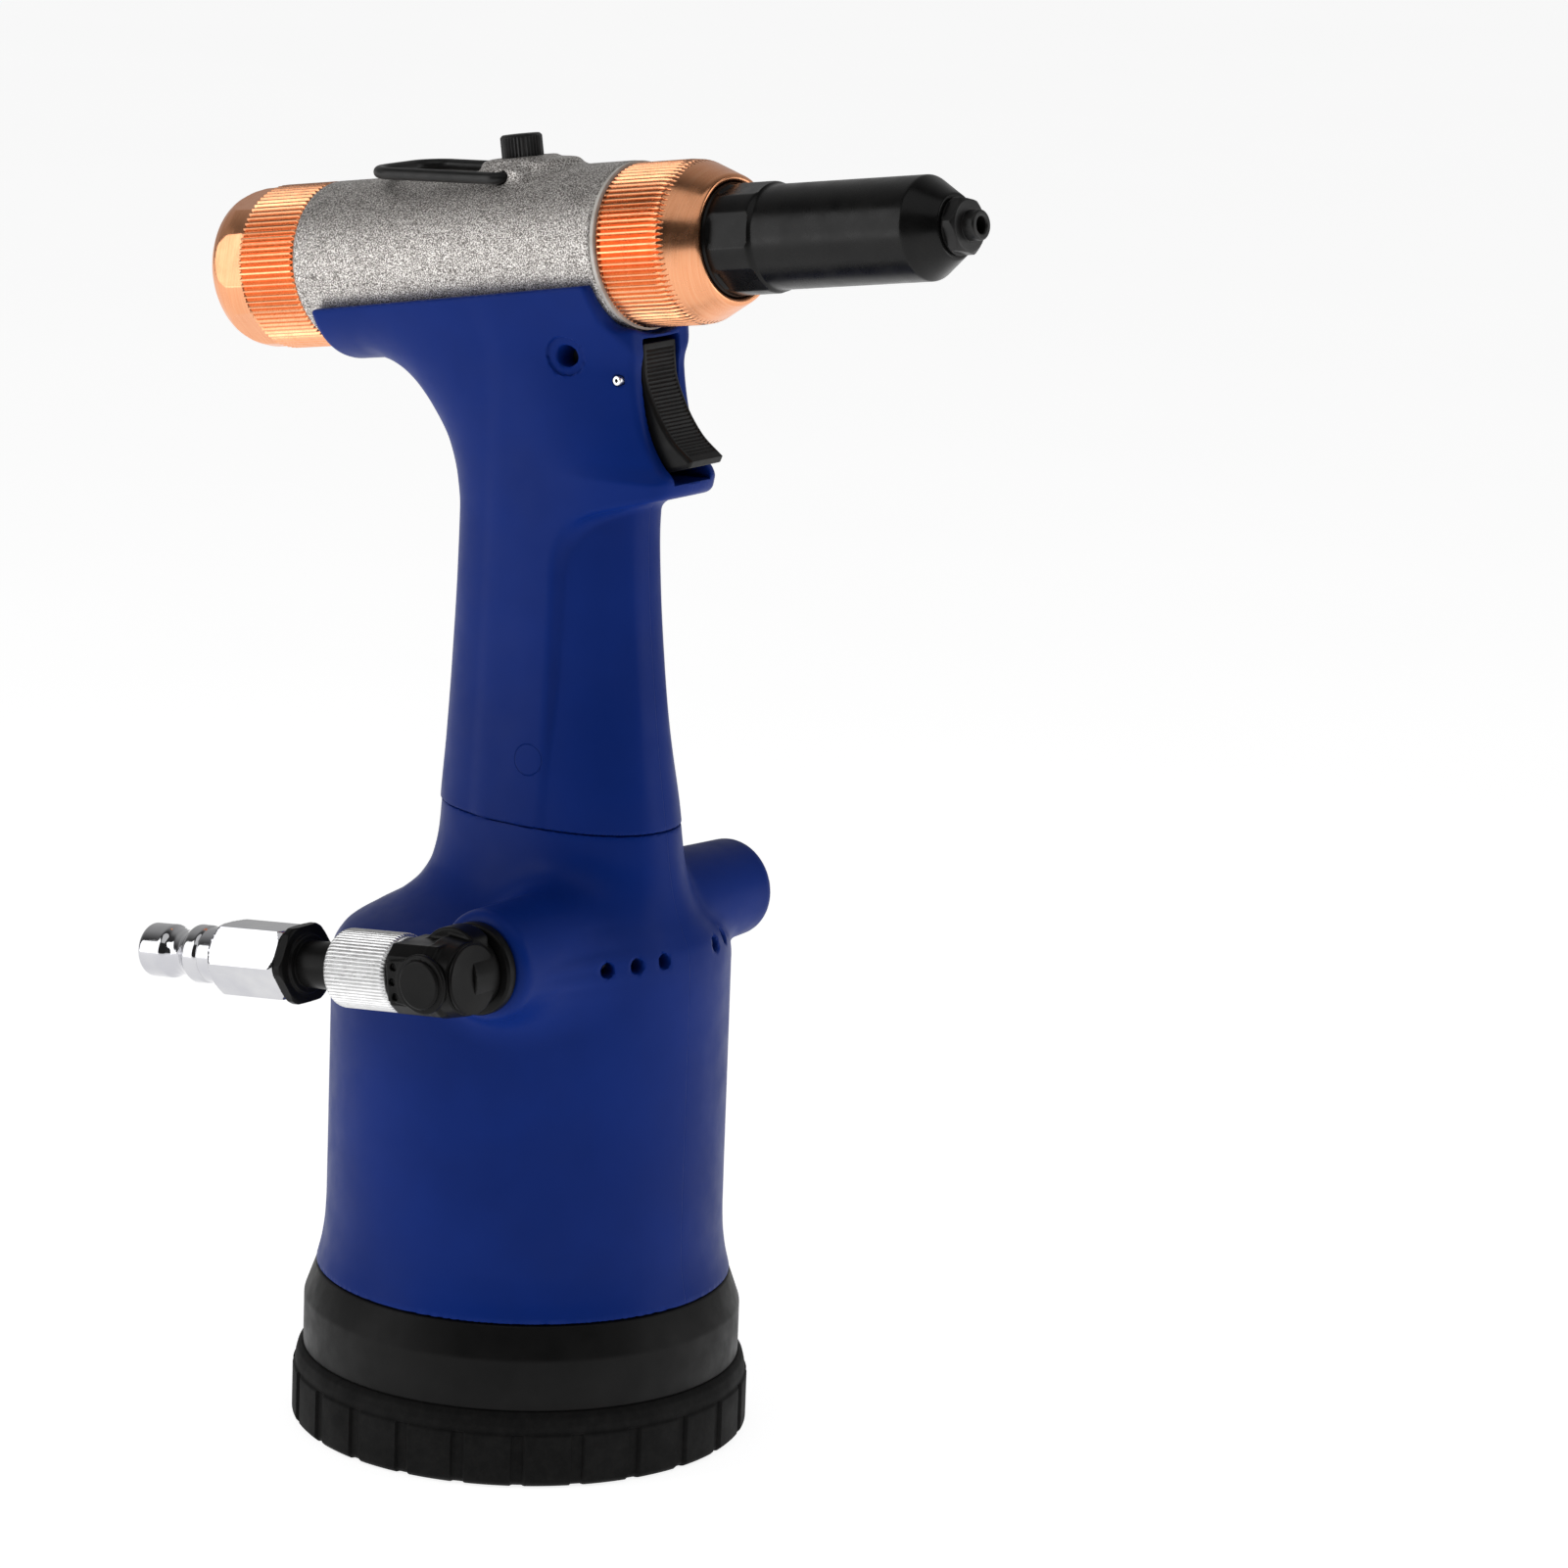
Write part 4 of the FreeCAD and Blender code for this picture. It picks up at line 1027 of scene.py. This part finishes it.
def stem_form(s, r, a):
    """Hexagonal stop at the end of the round stem."""
    flats = flat_radius(a, 7.75, math.radians(30))
    return np.where(r > 6.3, np.minimum(r, flats), r)


turned("stem_and_stop", [(9.4, 2.5), (9.4, 4.8), (35.6, 4.8), (35.6, 5.9), (36.2, 6.1), (36.2, 7.9),
                         (36.5, 8.5), (38.0, 8.5), (38.4, 7.9), (38.4, 2.5), (9.4, 2.5)],
       ARM, "black_anodised", "air_line", ["valve_stem"], stem_form, sides=240, corner=0.2, longest=0.5,
       sharp=28)


def plug_form(s, r, a):
    flats = flat_radius(a, 7.0, math.radians(30))
    return np.where((s > 39.2) & (s < 57.3) & (r > 5.9), np.minimum(r, flats), r)


turned("quick_plug", [(38.45, 3.0), (38.45, 6.6), (39.2, 6.7), (39.3, 7.2), (40.2, 8.1), (55.9, 8.1),
                      (57.2, 6.9), (57.3, 5.6), (61.4, 5.6), (61.6, 5.5), (62.2, 5.9), (64.9, 6.0),
                      (65.7, 5.3), (67.2, 4.7), (69.0, 4.55), (70.6, 4.9), (71.8, 5.5), (77.2, 5.5),
                      (77.9, 4.9), (77.9, 3.4), (77.3, 3.0), (38.45, 3.0)],
       ARM, "chrome_plate", "air_line", ["air_plug"], plug_form, sides=240, corner=0.35, longest=0.4,
       sharp=28)


# ---------------------------------------------------------------- CAD nodes that stay
slots = {s["node"]: s["material_slot"] for s in record["subparts"]}
for node, obj in frame["nodes"].items():
    obj.data.materials.clear()
    obj.data.materials.append(MATERIALS[slots[node]])
    obj.data.shade_smooth()
    obj.data.set_sharp_from_angle(angle=math.radians(30))


# ---------------------------------------------------------------- floor, light, camera
FLOOR_GLOW = 0.86


def floor():
    bpy.ops.mesh.primitive_plane_add(size=14, location=(-2, 3, -0.0002))
    plane = bpy.context.object
    plane.name = "floor"
    mat, tree, shader = new_material("pale_floor", grey(0.55), 0.0, 0.95, Specular_IOR_Level=0.0)
    vary_color(tree, shader, noise(tree, 6, 2), grey(0.54), grey(0.56))
    shader.inputs["Emission Color"].default_value = (1, 1, 1, 1)
    shader.inputs["Emission Strength"].default_value = FLOOR_GLOW
    plane.data.materials.append(mat)


SENSOR, LENS = 36.0, 145.6707                # width of the sensor and focal length
CAMERA_PLACE = (0.7885, -0.9899, 0.4375)     # metres
YAW, PITCH, ROLL = math.radians(36.245), math.radians(13.355), math.radians(2.174)
FORWARD = Vector((-math.sin(YAW) * math.cos(PITCH), math.cos(YAW) * math.cos(PITCH), -math.sin(PITCH)))
RIGHT = Vector((math.cos(YAW), math.sin(YAW), 0))
UPWARD = RIGHT.cross(FORWARD)


def camera():
    data = bpy.data.cameras.new("camera")
    data.sensor_width = SENSOR
    data.lens = LENS
    data.clip_end = 50
    obj = bpy.data.objects.new("camera", data)
    bpy.context.scene.collection.objects.link(obj)
    across = math.cos(ROLL) * RIGHT + math.sin(ROLL) * UPWARD
    over = math.cos(ROLL) * UPWARD - math.sin(ROLL) * RIGHT
    turn = Matrix((across, over, -FORWARD)).transposed()
    obj.matrix_world = Matrix.Translation(CAMERA_PLACE) @ turn.to_4x4()
    bpy.context.scene.camera = obj


def area_light(name, place, target, width, height, power):
    data = bpy.data.lights.new(name, "AREA")
    data.shape = "RECTANGLE"
    data.size = width
    data.size_y = height
    data.energy = power
    obj = bpy.data.objects.new(name, data)
    bpy.context.scene.collection.objects.link(obj)
    obj.location = place
    obj.rotation_euler = (Vector(target) - Vector(place)).to_track_quat("-Z", "Y").to_euler()


def studio():
    """Soft boxes left, right and above, in a surround that is pale behind the object and dark before it."""
    centre = Vector((0, 0, 0.14))
    level = Vector((FORWARD.x, FORWARD.y, 0)).normalized()
    left = centre - RIGHT * 0.9 - level * 0.25 + Vector((0, 0, 0.25))
    right = centre + RIGHT * 0.9 - level * 0.1 + Vector((0, 0, 0.2))
    top = centre + Vector((0, 0, 0.95)) - level * 0.45
    area_light("soft_left", left, centre, 0.5, 0.9, 2.8)
    area_light("soft_right", right, centre, 0.4, 0.9, 2.0)
    area_light("soft_top", top, centre, 1.2, 0.8, 2.0)
    world = bpy.data.worlds.new("surround")
    bpy.context.scene.world = world
    world.use_nodes = True
    tree = world.node_tree
    coord = tree.nodes.new("ShaderNodeTexCoord")
    dot = tree.nodes.new("ShaderNodeVectorMath")
    dot.operation = "DOT_PRODUCT"
    dot.inputs[1].default_value = level
    link(tree, coord, "Generated", dot, 0)
    shift = tree.nodes.new("ShaderNodeMapRange")
    shift.inputs["From Min"].default_value = -1
    shift.inputs["From Max"].default_value = 1
    link(tree, dot, "Value", shift, "Value")
    tone = ramp(tree, shift, "Result", [(0.0, grey(0.05)), (0.45, grey(0.08)), (0.55, grey(0.12)),
                                        (0.75, grey(0.7)), (1.0, grey(1.0))])
    link(tree, tone, "Color", tree.nodes["Background"], "Color")
    tree.nodes["Background"].inputs["Strength"].default_value = 0.45


floor()
camera()
studio()
bpy.context.scene.view_settings.view_transform = "Standard"
